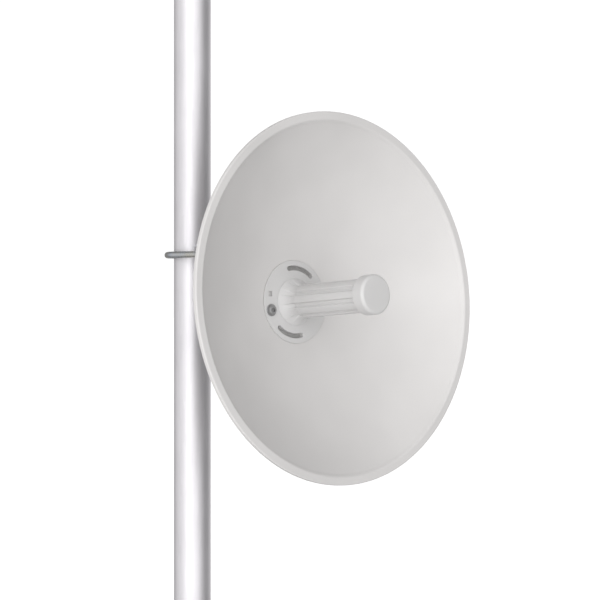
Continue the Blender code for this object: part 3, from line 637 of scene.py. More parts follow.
def circle(centre, radius, steps=48):
    """Points of a full circle."""
    return arc(centre, radius, 0.0, 2 * math.pi, steps)[:-1]


def rounded_rectangle(half_u, half_v, radius, steps=8):
    """Outline of a rectangle with round corners."""
    points = []
    for quarter, (sign_u, sign_v) in enumerate(((1, 1), (-1, 1), (-1, -1), (1, -1))):
        centre = (sign_u * (half_u - radius), sign_v * (half_v - radius))
        start = quarter * math.pi / 2
        points += arc(centre, radius, start, start + math.pi / 2, steps)
    return points


def curved_slot(radius, half_width, start, end, steps=20):
    """Outline of a slot that follows a circle around (0, 0), with round ends."""
    points = arc((0, 0), radius + half_width, start, end, steps)
    end_centre = (radius * math.cos(end), radius * math.sin(end))
    points += arc(end_centre, half_width, end, end + math.pi, 10)[1:-1]
    points += arc((0, 0), radius - half_width, end, start, steps)
    start_centre = (radius * math.cos(start), radius * math.sin(start))
    points += arc(start_centre, half_width, start + math.pi, start + 2 * math.pi, 10)[1:-1]
    return points


def filled_outline(bm, loops, place):
    """Fill a flat outline with holes; place turns an outline point (u, v) into a position."""
    for loop in loops:
        corners = [bm.verts.new(place(u, v)) for u, v in loop]
        for first, second in zip(corners, corners[1:] + corners[:1]):
            bm.edges.new((first, second))
    bmesh.ops.triangle_fill(bm, use_beauty=True, edges=bm.edges[:])
    bmesh.ops.dissolve_degenerate(bm, dist=0.000001, edges=bm.edges)


def plate(name, loops, thickness):
    """A plate in the XY plane, from z = 0 up, with the holes that the further loops give."""
    bm = bmesh.new()
    filled_outline(bm, loops, lambda u, v: Vector((u, v, 0.0)))
    pushed = bmesh.ops.extrude_face_region(bm, geom=bm.faces[:])["geom"]
    moved = [item for item in pushed if isinstance(item, bmesh.types.BMVert)]
    bmesh.ops.translate(bm, verts=moved, vec=(0, 0, thickness))
    bmesh.ops.recalc_face_normals(bm, faces=bm.faces)
    return mesh_from(bm, name)


def turned(name, profile, segments=96):
    """Turn a closed (radius, y) profile around the Y axis."""
    bm = bmesh.new()
    points = [bm.verts.new((radius, y, 0.0)) for radius, y in profile]
    edges = [bm.edges.new(pair) for pair in zip(points, points[1:] + points[:1])]
    whole_turn = {"angle": 2 * math.pi, "steps": segments, "use_merge": True}
    bmesh.ops.spin(bm, geom=points + edges, axis=(0, 1, 0), cent=(0, 0, 0), **whole_turn)
    closed_outwards(bm)
    return mesh_from(bm, name)


print("a slot outline has", len(curved_slot(0.04, 0.003, 0.0, 1.0)), "points")

# %% [markdown]
# ## Geometry Nodes
#
# Shapes that follow a rule, or that repeat, are grown by Geometry Nodes. A tree is built once in
# the script with named inputs for its sizes. It is run on an empty object, and the result is kept
# as a plain mesh. Most trees start from a flat grid that is rolled up: one of its directions runs
# along the piece's profile and the other once around its axis.


# %% Helpers for Geometry Nodes
SEAM_DISTANCE = 0.000002


def new_tree(name, sizes):
    """A tree with named number inputs, a material input and a geometry output."""
    tree = bpy.data.node_groups.new(name, "GeometryNodeTree")
    for size, default in sizes.items():
        kind = "NodeSocketInt" if isinstance(default, int) else "NodeSocketFloat"
        tree.interface.new_socket(size, in_out="INPUT", socket_type=kind).default_value = default
    tree.interface.new_socket("Finish", in_out="INPUT", socket_type="NodeSocketMaterial")
    tree.interface.new_socket("Geometry", in_out="OUTPUT", socket_type="NodeSocketGeometry")
    return tree, add_node(tree, "NodeGroupInput").outputs


def finish_tree(tree, geometry, sizes):
    """Realize whatever was instanced, give it its material and send it out."""
    real = add_node(tree, "GeometryNodeRealizeInstances", {"Geometry": geometry})
    painted = add_node(tree, "GeometryNodeSetMaterial", {0: real, "Material": sizes["Finish"]})
    add_node(tree, "NodeGroupOutput", {0: painted})


def grown(name, tree, finish, **sizes):
    """Run a tree with these sizes and keep the result as a plain mesh."""
    holder = bpy.data.objects.new(name, bpy.data.meshes.new(name))
    bpy.context.scene.collection.objects.link(holder)
    modifier = holder.modifiers.new("grow", "NODES")
    modifier.node_group = tree
    values = {key.replace("_", " ").title(): value for key, value in sizes.items()}
    for item in tree.interface.items_tree:
        if item.in_out == "INPUT" and item.name in values:
            modifier[item.identifier] = values[item.name]
        if item.in_out == "INPUT" and item.name == "Finish":
            modifier[item.identifier] = finish
    return taken(settled(holder))


def rolled_grid(tree, along, around):
    """A flat grid with its two shares: u from 0 to 1 along the profile, v from 0 to 1 around the axis."""
    points = {"Size X": 1.0, "Size Y": 1.0, "Vertices X": along + 1, "Vertices Y": around + 1}
    grid = add_node(tree, "GeometryNodeMeshGrid", points)
    flat = add_node(
        tree, "ShaderNodeSeparateXYZ", {0: add_node(tree, "GeometryNodeInputPosition").outputs[0]}
    )
    u = add_node(tree, "ShaderNodeMath", {0: flat, 1: 0.5}, operation="ADD")
    v = add_node(tree, "ShaderNodeMath", {0: flat.outputs[1], 1: 0.5}, operation="ADD")
    return grid.outputs["Mesh"], u.outputs[0], v.outputs[0]


def rolled_up(tree, grid, v, radius, height):
    """Roll the grid around the Z axis at the given radius and height, and merge its seam."""
    angle = add_node(tree, "ShaderNodeMath", {0: v, 1: 2 * math.pi}, operation="MULTIPLY").outputs[0]
    cosine = add_node(tree, "ShaderNodeMath", {0: angle}, operation="COSINE").outputs[0]
    sine = add_node(tree, "ShaderNodeMath", {0: angle}, operation="SINE").outputs[0]
    x = add_node(tree, "ShaderNodeMath", {0: cosine, 1: radius}, operation="MULTIPLY").outputs[0]
    y = add_node(tree, "ShaderNodeMath", {0: sine, 1: radius}, operation="MULTIPLY").outputs[0]
    place = add_node(tree, "ShaderNodeCombineXYZ", {0: x, 1: y, 2: height}).outputs[0]
    moved = add_node(tree, "GeometryNodeSetPosition", {"Geometry": grid, "Position": place}).outputs[0]
    return add_node(
        tree, "GeometryNodeMergeByDistance", {"Geometry": moved, "Distance": SEAM_DISTANCE}
    ).outputs[0]


print("Geometry Nodes helpers are ready")

# %% [markdown]
# ## The reflector
#
# The bowl is a paraboloid, the one shape that sends every ray from the feed straight ahead. It is
# stamped from sheet metal, ends in a flat lip 6 to 7 mm wide, and the lip's edge is turned back to
# stiffen it. The whole cross-section is one rule, so a node tree makes it: u runs outwards over
# the bowl, through a smooth blend onto the lip, around the corner and back along the turned edge.
# Solidify then gives the sheet its thickness.

# %% Reflector
RIM_Y = -0.161
DISH_RADIUS = 0.210
BOWL_RADIUS = 0.2015
BOWL_DEPTH = 0.082
BLEND_START = 0.197
LIP_START = 0.2035
LIP_CORNER = 0.0015
RIM_RETURN = 0.0045
DISH_SHEET = 0.0016
CENTRE_HOLE_RADIUS = 0.0435
REFLECTOR_SEGMENTS = 288
REFLECTOR_STEPS = 100
# Where the bowl, the blend, the lip and the corner end, as shares of the way along the section
BOWL_END = 0.60
BLEND_END = 0.80
LIP_END = 0.88
CORNER_END = 0.96


def stamped_dish_tree():
    """Paraboloid, blend, flat lip, corner and turned-back edge, as one rolled-up grid."""
    sizes = {
        "Hole Radius": 0.04,
        "Bowl Radius": 0.2,
        "Bowl Depth": 0.08,
        "Blend Start": 0.19,
        "Lip Start": 0.2,
        "Dish Radius": 0.21,
        "Corner Radius": 0.0015,
        "Return Length": 0.004,
    }
    tree, size = new_tree("stamped_dish", sizes)
    grid, u, v = rolled_grid(tree, REFLECTOR_STEPS, REFLECTOR_SEGMENTS)

    blend_width = add_node(
        tree, "ShaderNodeMath", {0: size["Lip Start"], 1: size["Blend Start"]}, operation="SUBTRACT"
    )
    corner_start = add_node(
        tree, "ShaderNodeMath", {0: size["Dish Radius"], 1: size["Corner Radius"]}, operation="SUBTRACT"
    )
    lip_width = add_node(
        tree, "ShaderNodeMath", {0: corner_start, 1: size["Lip Start"]}, operation="SUBTRACT"
    )
    over_bowl = add_node(
        tree,
        "ShaderNodeMapRange",
        {0: u, 1: 0.0, 2: BOWL_END, 3: size["Hole Radius"], 4: size["Blend Start"]},
    )
    over_blend = add_node(
        tree, "ShaderNodeMapRange", {0: u, 1: BOWL_END, 2: BLEND_END, 3: 0.0, 4: blend_width}
    )
    over_lip = add_node(tree, "ShaderNodeMapRange", {0: u, 1: BLEND_END, 2: LIP_END, 3: 0.0, 4: lip_width})
    to_blend = add_node(
        tree, "ShaderNodeMath", {0: over_bowl, 1: over_blend}, operation="ADD"
    )
    flat_radius = add_node(
        tree, "ShaderNodeMath", {0: to_blend, 1: over_lip}, operation="ADD"
    )

    share = add_node(tree, "ShaderNodeMath", {0: flat_radius, 1: size["Bowl Radius"]}, operation="DIVIDE")
    square = add_node(tree, "ShaderNodeMath", {0: share, 1: 2.0}, operation="POWER")
    drop = add_node(tree, "ShaderNodeMath", {0: 1.0, 1: square}, operation="SUBTRACT")
    bowl = add_node(tree, "ShaderNodeMath", {0: drop, 1: size["Bowl Depth"]}, operation="MULTIPLY")
    fade = add_node(
        tree,
        "ShaderNodeMapRange",
        {0: flat_radius, 1: size["Blend Start"], 2: size["Lip Start"], 3: 1.0, 4: 0.0},
        interpolation_type="SMOOTHSTEP",
    )
    depth = add_node(tree, "ShaderNodeMath", {0: bowl, 1: fade}, operation="MULTIPLY")

    bend = add_node(
        tree, "ShaderNodeMapRange", {0: u, 1: LIP_END, 2: CORNER_END, 3: 0.0, 4: math.pi / 2}
    ).outputs[0]
    sideways = add_node(tree, "ShaderNodeMath", {0: bend}, operation="SINE")
    level = add_node(tree, "ShaderNodeMath", {0: bend}, operation="COSINE")
    backwards = add_node(tree, "ShaderNodeMath", {0: 1.0, 1: level}, operation="SUBTRACT")
    radius = add_node(
        tree,
        "ShaderNodeMath",
        {0: sideways, 1: size["Corner Radius"], 2: flat_radius},
        operation="MULTIPLY_ADD",
    )
    turned_back = add_node(
        tree,
        "ShaderNodeMath",
        {0: backwards, 1: size["Corner Radius"], 2: depth},
        operation="MULTIPLY_ADD",
    )
    straight = add_node(
        tree, "ShaderNodeMath", {0: size["Return Length"], 1: size["Corner Radius"]}, operation="SUBTRACT"
    )
    edge = add_node(tree, "ShaderNodeMapRange", {0: u, 1: CORNER_END, 2: 1.0, 3: 0.0, 4: straight})
    height = add_node(tree, "ShaderNodeMath", {0: turned_back, 1: edge}, operation="ADD")
    mesh = rolled_up(tree, grid, v, radius.outputs[0], height.outputs[0])
    finish_tree(tree, mesh, size)
    return tree


def along_dish_axis(y=0.0):
    """A matrix that lays a piece's +Z along the dish's axis, towards the back, from a place on it."""
    return DISH_AXIS @ Matrix.Translation((0, y, 0)) @ Matrix.Rotation(-math.pi / 2, 4, "X")


def make_reflector():
    """Grow the sheet's front face, put it in place and give it its thickness."""
    sheet = grown(
        "reflector",
        stamped_dish_tree(),
        POWDER,
        hole_radius=CENTRE_HOLE_RADIUS,
        bowl_radius=BOWL_RADIUS,
        bowl_depth=BOWL_DEPTH,
        blend_start=BLEND_START,
        lip_start=LIP_START,
        dish_radius=DISH_RADIUS,
        corner_radius=LIP_CORNER,
        return_length=RIM_RETURN,
    )
    sheet.transform(along_dish_axis(RIM_Y))
    front = DISH_AXIS.to_3x3() @ Vector((0, -1, 0))
    if sheet.polygons[0].normal.dot(front) < 0:
        sheet.flip_normals()
    piece = thickened(new_piece("reflector_sheet", sheet), DISH_SHEET)
    return attach(piece, "dish", "white_powder_coat", "reflector")


make_reflector()

# %% [markdown]
# ## The hub plate
#
# A moulded plate closes the bowl's centre. It has two curved slots, in which the radio behind it is
# turned and locked, and two small square pockets of the catches. It is made as a thin flange in
# front and a thicker core behind, cut with the same openings. At the bottom of the slots a floor in
# mid grey paints the shade that falls in the deep, narrow slots.

# %% Hub plate
HUB_RADIUS = 0.0476
HUB_FACE_Y = RIM_Y + 0.076
HUB_FLANGE = 0.0013
HUB_CORE = 0.0042
HUB_FLOOR = 0.0018
HUB_SLOT_RADIUS = 0.0390
HUB_SLOT_HALF_WIDTH = 0.0027
HUB_SLOT_START = math.radians(49.0)
HUB_SLOT_END = math.radians(101.0)
HUB_BOLT_RADIUS = 0.0385
HUB_BOLT_ANGLE = math.radians(14.0)
HUB_POCKET_HALF_SIDE = 0.00275
HUB_POCKET_DEPTH = 0.0035
HUB_POCKET_CORNER = 0.0006
HUB_POCKET_MARGIN = 0.0002
HUB_EDGE_ROUND = 0.0005
HUB_FIT_GAP = 0.0003
SLOT_SHADE_CELL = 0.0008


def hub_place(angle):
    """A place on the circle of the hub's bolts and pockets, as (u, v) on its face."""
    return HUB_BOLT_RADIUS * math.cos(angle), HUB_BOLT_RADIUS * math.sin(angle)


def hub_openings():
    """Outlines of the two slots and the two pockets."""
    openings = []
    for half_turn in (0.0, math.pi):
        start = HUB_SLOT_START + half_turn
        end = HUB_SLOT_END + half_turn
        openings.append(curved_slot(HUB_SLOT_RADIUS, HUB_SLOT_HALF_WIDTH, start, end))
        u, v = hub_place(math.pi - HUB_BOLT_ANGLE + half_turn)
        square = rounded_rectangle(HUB_POCKET_HALF_SIDE, HUB_POCKET_HALF_SIDE, HUB_POCKET_CORNER, 3)
        openings.append([(u + du, v + dv) for du, dv in square])
    return openings


def on_hub_face():
    """A matrix that lays a plate's XY plane on the hub's face, its +Z towards the camera's side."""
    return DISH_AXIS @ Matrix.Translation((0, HUB_FACE_Y, 0)) @ Matrix.Rotation(math.pi / 2, 4, "X")


def grey_painted_slot_shade():
    """Painted shade for the slots' floor: mid grey in small round cells, each with a lighter wall, and no
    shine.
    """
    finish, tree, shader, place = new_finish("grey_painted_slot_shade")
    cells = add_node(tree, "ShaderNodeTexVoronoi", {"Vector": place, "Scale": 1 / SLOT_SHADE_CELL})
    wall = add_node(tree, "ShaderNodeMapRange", {0: cells.outputs["Distance"], 1: 0.2, 2: 0.8})
    colour = add_node(
        # These two mid greys are painted shade for the bottom of the hub's slots
        tree, "ShaderNodeMix", {0: wall, 6: linear("#999897"), 7: linear("#AEADAB")}, data_type="RGBA"
    )
    tree.links.new(colour.outputs[2], shader.inputs["Base Color"])
    shader.inputs["Roughness"].default_value = 0.9
    shader.inputs["Specular IOR Level"].default_value = 0.2
    return finish


# Mid grey floor that paints the shade at the bottom of the hub's slots
PAINTED_SLOT_SHADE = grey_painted_slot_shade()


def make_hub_plate():
    """Flange, core and floor joined into one moulding."""
    openings = hub_openings()
    flange = new_piece("flange", plate("flange", [circle((0, 0), HUB_RADIUS, 144), *openings], HUB_FLANGE))
    flange = raised(taken(soften(flange, HUB_EDGE_ROUND)), -HUB_FLANGE)
    rim = circle((0, 0), CENTRE_HOLE_RADIUS - HUB_FIT_GAP, 96)
    core_bottom = -HUB_FLANGE - HUB_CORE
    core = raised(plate("core", [rim, *openings], HUB_CORE), core_bottom)
    floor = raised(plate("floor", [rim], HUB_FLOOR), core_bottom - HUB_FLOOR)
    # The floor under the slots carries the painted slot shade
    parts = [(flange, ASA), (core, ASA), (floor, PAINTED_SLOT_SHADE)]
    half = HUB_POCKET_HALF_SIDE + HUB_POCKET_MARGIN
    for angle in (math.pi - HUB_BOLT_ANGLE, 2 * math.pi - HUB_BOLT_ANGLE):
        u, v = hub_place(angle)
        pad = [(u - half, v - half), (u + half, v - half), (u + half, v + half), (u - half, v + half)]
        bottom = plate("pocket_floor", [pad], HUB_FLANGE + HUB_CORE - HUB_POCKET_DEPTH)
        parts.append((raised(bottom, core_bottom), ASA))
    mesh = joined("hub_plate", parts)
    mesh.transform(on_hub_face())
    return attach(new_piece("hub_moulding", mesh), "dish", "white_plastic", "hub_plate")


make_hub_plate()

# %% [markdown]
# ## Ridges around a circle
#
# Knurls, finger grips and stiffening ribs are all the same thing: one small ridge, repeated at even
# steps around an axis. One tree does them all. The ridge is a stretched sphere, so it tapers at
# both ends as a moulded or rolled one does.


# %% Tree for rings of ridges
def ridge_ring_tree():
    """Stretched spheres, evenly spaced on a circle around Z, each long side along Z."""
    sizes = {"Count": 12, "Ring Radius": 0.01}
    sizes |= {"Ridge Width": 0.001, "Ridge Height": 0.001, "Ridge Length": 0.01}
    tree, size = new_tree("ring_of_ridges", sizes)
    ring = add_node(
        tree, "GeometryNodeMeshCircle", {"Vertices": size["Count"], "Radius": size["Ring Radius"]}
    )
    ridge = add_node(tree, "GeometryNodeMeshUVSphere", {"Segments": 8, "Rings": 6, "Radius": 0.5})
    shape = add_node(
        tree,
        "ShaderNodeCombineXYZ",
        {0: size["Ridge Height"], 1: size["Ridge Width"], 2: size["Ridge Length"]},
    )
    scaled = add_node(tree, "GeometryNodeTransform", {0: ridge.outputs["Mesh"], "Scale": shape})
    outwards = add_node(
        tree,
        "FunctionNodeAlignEulerToVector",
        {"Vector": add_node(tree, "GeometryNodeInputPosition").outputs[0]},
        axis="X",
        pivot_axis="Z",
    )
    placed = add_node(
        tree,
        "GeometryNodeInstanceOnPoints",
        {"Points": ring, "Instance": scaled, "Rotation": outwards},
    )
    finish_tree(tree, placed.outputs[0], size)
    return tree


RIDGE_RING = ridge_ring_tree()
print("made tree", RIDGE_RING.name)

# %% [markdown]
# ## The two hub screws
#
# Two flanged button-head screws hold the radio to the hub. The head is a low dome on a thin flange,
# with a hexagon socket for the key and a small chamfer around it. In the photograph it reads as a
# grey disc with a lighter ring and a dark spot, which are the dome's edge and the socket.

# %% Hub screws
SCREW_HEAD_RADIUS = 0.0070
SCREW_HEAD_HEIGHT = 0.0040
SCREW_FLANGE_HEIGHT = 0.0010
SCREW_DOME_RADIUS = 0.0056
SCREW_CROWN_RADIUS = 0.0041
SCREW_FLANGE_CHAMFER = 0.0003
DOME_STEPS = 8
SOCKET_ACROSS_FLATS = 0.0050
SOCKET_DEPTH = 0.0026
SCREW_SHANK_RADIUS = 0.0030
SCREW_LENGTH = 0.020


def hexagon(across_flats):
    """Outline of a hexagon around (0, 0)."""
    return circle((0, 0), across_flats / math.sqrt(3.0), 6)


def button_screw():
    """Button-head screw along Z: its seat at z = 0, its head above and its shank below."""
    chamfer = SCREW_FLANGE_HEIGHT - SCREW_FLANGE_CHAMFER
    profile = [(0.0, 0.0), (SCREW_HEAD_RADIUS, 0.0), (SCREW_HEAD_RADIUS, chamfer)]
    profile.append((SCREW_HEAD_RADIUS - SCREW_FLANGE_CHAMFER, SCREW_FLANGE_HEIGHT))
    for step in range(DOME_STEPS + 1):
        angle = math.pi / 2 * step / DOME_STEPS
        radius = SCREW_CROWN_RADIUS + (SCREW_DOME_RADIUS - SCREW_CROWN_RADIUS) * math.cos(angle)
        height = (SCREW_HEAD_HEIGHT - SCREW_FLANGE_HEIGHT) * math.sin(angle)
        profile.append((radius, SCREW_FLANGE_HEIGHT + height))
    profile.append((0.0, SCREW_HEAD_HEIGHT))
    dome = turned("dome", profile, 64)
    dome.transform(UPRIGHT)
    key_hole = plate("key_hole", [hexagon(SOCKET_ACROSS_FLATS)], SOCKET_DEPTH + SCREW_HEAD_HEIGHT)
    head = hollowed(new_piece("head", dome), raised(key_hole, SCREW_HEAD_HEIGHT - SOCKET_DEPTH))
    shank = plate("shank", [circle((0, 0), SCREW_SHANK_RADIUS, 24)], SCREW_LENGTH)
    return joined("button_screw", [(taken(head), DARK_STEEL), (raised(shank, -SCREW_LENGTH), DARK_STEEL)])


def make_hub_screws():
    """One screw on each side of the hub."""
    for side, angle in (("left", math.pi + HUB_BOLT_ANGLE), ("right", HUB_BOLT_ANGLE)):
        u, v = hub_place(angle)
        mesh = button_screw()
        mesh.transform(on_hub_face() @ Matrix.Translation((u, v, 0.0)))
        attach(new_piece(f"hub_screw_{side}", mesh), "dish", "dark_steel", f"hub_bolt_{side}")


make_hub_screws()

# %% [markdown]
# ## The feed
#
# The feed carries the radio signal out to the bowl's focus. Its tube stands on a base that flares
# like a trumpet, and eight long grooves run down both. The whole shape is a rule again: the radius
# at any place is the tube's radius, plus the flare near the foot, less the groove at that angle.

# %% Feed base and tube
FLARE_RADIUS = 0.0270
FLARE_LENGTH = 0.0165
FLARE_POWER = 2.4
TUBE_RADIUS = 0.0190
FLUTES = 8
FLUTE_DEPTH = 0.0028
FLUTE_HALF_ANGLE = math.radians(11.5)
FLUTE_FLOOR_SHARE = 0.45
FLUTE_PHASE = math.radians(27.0)
CAP_FRONT_Y = RIM_Y - 0.058
CAP_LENGTH = 0.016
PART_LINE = 0.0003


def fluted_tube_tree():
    """A rolled-up grid whose radius follows the flare along it and the grooves around it."""
    sizes = {
        "Start Radius": 0.027,
        "End Radius": 0.019,
        "Length": 0.05,
        "Flare Power": 2.4,
        "Flutes": 8,
        "Flute Half Angle": 0.16,
        "Flute Phase": 0.5,
        "Start Depth": 0.0,
        "End Depth": 0.0016,
    }
    tree, size = new_tree("fluted_tube", sizes)
    grid, u, v = rolled_grid(tree, 28, 320)
    rest = add_node(tree, "ShaderNodeMath", {0: 1.0, 1: u}, operation="SUBTRACT")
    curl = add_node(tree, "ShaderNodeMath", {0: rest, 1: size["Flare Power"]}, operation="POWER")
    body = add_node(
        tree,
        "ShaderNodeMapRange",
        {0: curl, 1: 0.0, 2: 1.0, 3: size["End Radius"], 4: size["Start Radius"]},
    )
    pitch = add_node(tree, "ShaderNodeMath", {0: 2 * math.pi, 1: size["Flutes"]}, operation="DIVIDE")
    angle = add_node(
        tree, "ShaderNodeMath", {0: v, 1: 2 * math.pi, 2: size["Flute Phase"]}, operation="MULTIPLY_ADD"
    )
    half_pitch = add_node(tree, "ShaderNodeMath", {0: pitch, 1: 0.5}, operation="MULTIPLY")
    back_half = add_node(tree, "ShaderNodeMath", {0: half_pitch, 1: -1.0}, operation="MULTIPLY")
    offset = add_node(
        tree,
        "ShaderNodeMath",
        {0: angle, 1: half_pitch, 2: back_half},
        operation="WRAP",
    )
    away = add_node(tree, "ShaderNodeMath", {0: offset}, operation="ABSOLUTE")
    inner = add_node(
        tree, "ShaderNodeMath", {0: size["Flute Half Angle"], 1: FLUTE_FLOOR_SHARE}, operation="MULTIPLY"
    )
    groove = add_node(
        tree,
        "ShaderNodeMapRange",
        {0: away, 1: inner, 2: size["Flute Half Angle"], 3: 1.0, 4: 0.0},
        interpolation_type="SMOOTHSTEP",
    )
    depth = add_node(
        tree, "ShaderNodeMapRange", {0: u, 1: 0.0, 2: 1.0, 3: size["Start Depth"], 4: size["End Depth"]}
    )
    sink = add_node(tree, "ShaderNodeMath", {0: groove, 1: depth}, operation="MULTIPLY")
    radius = add_node(tree, "ShaderNodeMath", {0: body, 1: sink}, operation="SUBTRACT")
    height = add_node(tree, "ShaderNodeMath", {0: u, 1: size["Length"]}, operation="MULTIPLY")
    finish_tree(tree, rolled_up(tree, grid, v, radius.outputs[0], height.outputs[0]), size)
    return tree


def with_closed_ends(mesh):
    """Close the open ends of a tube and turn its faces outwards."""
    bm = bmesh.new()
    bm.from_mesh(mesh)
    closed_outwards(bm)
    bm.to_mesh(mesh)
    bm.free()
    return mesh


def make_feed_body():
    """The flared base on the hub, and the straight tube from there to the cap."""
    tree = fluted_tube_tree()
    foot_y = HUB_FACE_Y - PART_LINE
    tip_y = foot_y - FLARE_LENGTH
    cap_rear_y = CAP_FRONT_Y + CAP_LENGTH
    barrel_y = tip_y - PART_LINE
    barrel_length = barrel_y - cap_rear_y - PART_LINE
    towards_front = Matrix.Rotation(math.pi / 2, 4, "X")
    for name, node, start, length, start_radius, power, start_depth in (
        ("feed_foot", "feed_base", foot_y, FLARE_LENGTH, FLARE_RADIUS, FLARE_POWER, 0.0),
        ("feed_barrel", "feed_tube", barrel_y, barrel_length, TUBE_RADIUS, 1.0, FLUTE_DEPTH),
    ):
        mesh = grown(
            node,
            tree,
            ASA,
            start_radius=start_radius,
            end_radius=TUBE_RADIUS,
            length=length,
            flare_power=power,
            start_depth=start_depth,
            end_depth=FLUTE_DEPTH,
            flutes=FLUTES,
            flute_half_angle=FLUTE_HALF_ANGLE,
            flute_phase=FLUTE_PHASE,
        )
        with_closed_ends(mesh)
        mesh.transform(DISH_AXIS @ Matrix.Translation((0, start, 0)) @ towards_front)
        attach(new_piece(name, mesh), "dish", "white_plastic", node)


make_feed_body()

# %% [markdown]
# ## The feed's cap
#
# A round cap closes the tube. Its front is flat with a soft, rounded rim that catches the light on
# the left, and its rear edge is slightly rounded where it grips the tube.

# %% Feed cap
CAP_RADIUS = 0.0225
CAP_FRONT_ROUND = 0.0038
CAP_REAR_ROUND = 0.0010


def make_feed_cap():
    """A turned cap with a generous front radius and a small rear one."""
    rear_y = CAP_FRONT_Y + CAP_LENGTH
    profile = [(0.0, CAP_FRONT_Y)]
    front_centre = (CAP_RADIUS - CAP_FRONT_ROUND, CAP_FRONT_Y + CAP_FRONT_ROUND)
    profile += arc(front_centre, CAP_FRONT_ROUND, -math.pi / 2, 0.0, 10)
    rear_centre = (CAP_RADIUS - CAP_REAR_ROUND, rear_y - CAP_REAR_ROUND)
    profile += arc(rear_centre, CAP_REAR_ROUND, 0.0, math.pi / 2, 5)
    profile.append((0.0, rear_y))
    mesh = turned("feed_cap", profile, 128)
    mesh.transform(DISH_AXIS)
    return attach(new_piece("feed_end_cap", mesh, ASA), "dish", "white_plastic", "feed_cap")


make_feed_cap()

# %% [markdown]
# ## The radio housing
#
# The radio sits in a round moulded housing that nests against the bowl's back. Its side wall leans
# in a little so that it leaves the mould, and a ring of thin ribs stiffens it. A flat cover closes
# the back, with a shadow gap all round between the two.

# %% Radio housing and rear cover
HOUSING_RADIUS = 0.064
HOUSING_FRONT_RADIUS = 0.0655
HOUSING_REAR_Y = -0.0410
COVER_REAR_Y = -0.0326
HOUSING_RIBS = 60
HOUSING_STEM_LENGTH = 0.0080
HOUSING_RING_START = CENTRE_HOLE_RADIUS + 0.002
HOUSING_RING_STEP = 0.0045
HOUSING_RING_STEPS = 5
HOUSING_SHOULDER = 0.004
HOUSING_EDGE_ROUND = 0.0006
BOWL_CLEARANCE = 0.0004
SHEET_SLANT = 1.08
RIB_WIDTH = 0.0016
RIB_SINK = 0.0005
RIB_LENGTH_SHARE = 0.86
SHADOW_GAP = 0.0008
SHADOW_GAP_DEPTH = 0.0030
COVER_GAP = 0.0003
COVER_SIDE_LEAN = 0.0008
COVER_CHAMFER_HEIGHT = 0.0035
COVER_CHAMFER_WIDTH = 0.0045
COVER_EDGE_ROUND = 0.0012


def bowl_back(radius):
    """The y of a place just behind the bowl at a radius."""
    behind_sheet = DISH_SHEET * SHEET_SLANT + BOWL_CLEARANCE
    return RIM_Y + BOWL_DEPTH * (1 - (radius / BOWL_RADIUS) ** 2) + behind_sheet


def make_housing():
    """Housing wall with ribs, and the cover behind it."""
    front_y = HUB_FACE_Y + HOUSING_STEM_LENGTH
    profile = [(0.0, front_y), (CENTRE_HOLE_RADIUS + 0.001, front_y)]
    for step in range(HOUSING_RING_STEPS):
        radius = HOUSING_RING_START + step * HOUSING_RING_STEP
        profile.append((radius, bowl_back(radius)))
    wall_y = profile[-1][1] + HOUSING_SHOULDER
    gap_y = HOUSING_REAR_Y - SHADOW_GAP
    gap_radius = HOUSING_RADIUS - SHADOW_GAP_DEPTH
    profile += [(HOUSING_FRONT_RADIUS, wall_y), (HOUSING_RADIUS - HOUSING_EDGE_ROUND, gap_y)]
    profile += [(gap_radius, gap_y), (gap_radius, HOUSING_REAR_Y), (0.0, HOUSING_REAR_Y)]
    wall = taken(soften(new_piece("wall", turned("wall", profile, 144)), HOUSING_EDGE_ROUND))
    ribs = grown(
        "ribs",
        RIDGE_RING,
        ASA,
        count=HOUSING_RIBS,
        ring_radius=(HOUSING_FRONT_RADIUS + HOUSING_RADIUS) / 2 - RIB_SINK,
        ridge_width=RIB_WIDTH,
        ridge_height=RIB_WIDTH,
        ridge_length=(HOUSING_REAR_Y - wall_y) * RIB_LENGTH_SHARE,
    )
    ribs.transform(Matrix.Translation((0, (wall_y + HOUSING_REAR_Y) / 2, 0)) @ UPRIGHT)
    mesh = joined("radio_housing", [(wall, ASA), (ribs, ASA)])
    mesh.transform(DISH_AXIS)
    attach(new_piece("radio_shell", mesh), "dish", "white_plastic", "radio_housing")

    cover_front = HOUSING_REAR_Y + COVER_GAP
    profile = [(0.0, cover_front), (HOUSING_RADIUS, cover_front)]
    profile.append((HOUSING_RADIUS - COVER_SIDE_LEAN, COVER_REAR_Y - COVER_CHAMFER_HEIGHT))
    profile += [(HOUSING_RADIUS - COVER_CHAMFER_WIDTH, COVER_REAR_Y), (0.0, COVER_REAR_Y)]
    cover = soften(new_piece("radio_cover", turned("cover", profile, 144), ASA), COVER_EDGE_ROUND)
    cover.data.transform(DISH_AXIS)
    attach(cover, "dish", "white_plastic", "housing_cover")


make_housing()

# %% [markdown]
# ## The port cover and the cable gland
#
# Under the housing a small snap-on cover hides the network port. It hugs the round housing. The
# gland in its middle grips a cable and keeps rain out: a nut with ridges, and a rubber seal inside.
# No cable is fitted.

# %% Port cover and gland
PORT_COVER_Y = -0.060
PORT_COVER_LENGTH = 0.026
PORT_COVER_WIDTH = 0.044
PORT_COVER_BOTTOM = -AXIS_DROP - HOUSING_RADIUS - 0.006
PORT_COVER_HEIGHT = 0.018
PORT_COVER_CORNER = 0.0045
PORT_COVER_ROUND = 0.0015
PORT_COVER_FIT = 0.0023
GLAND_RADIUS = 0.0085
GLAND_LENGTH = 0.014
GLAND_RIDGES = 18
GLAND_RIDGE_Y = -0.0088
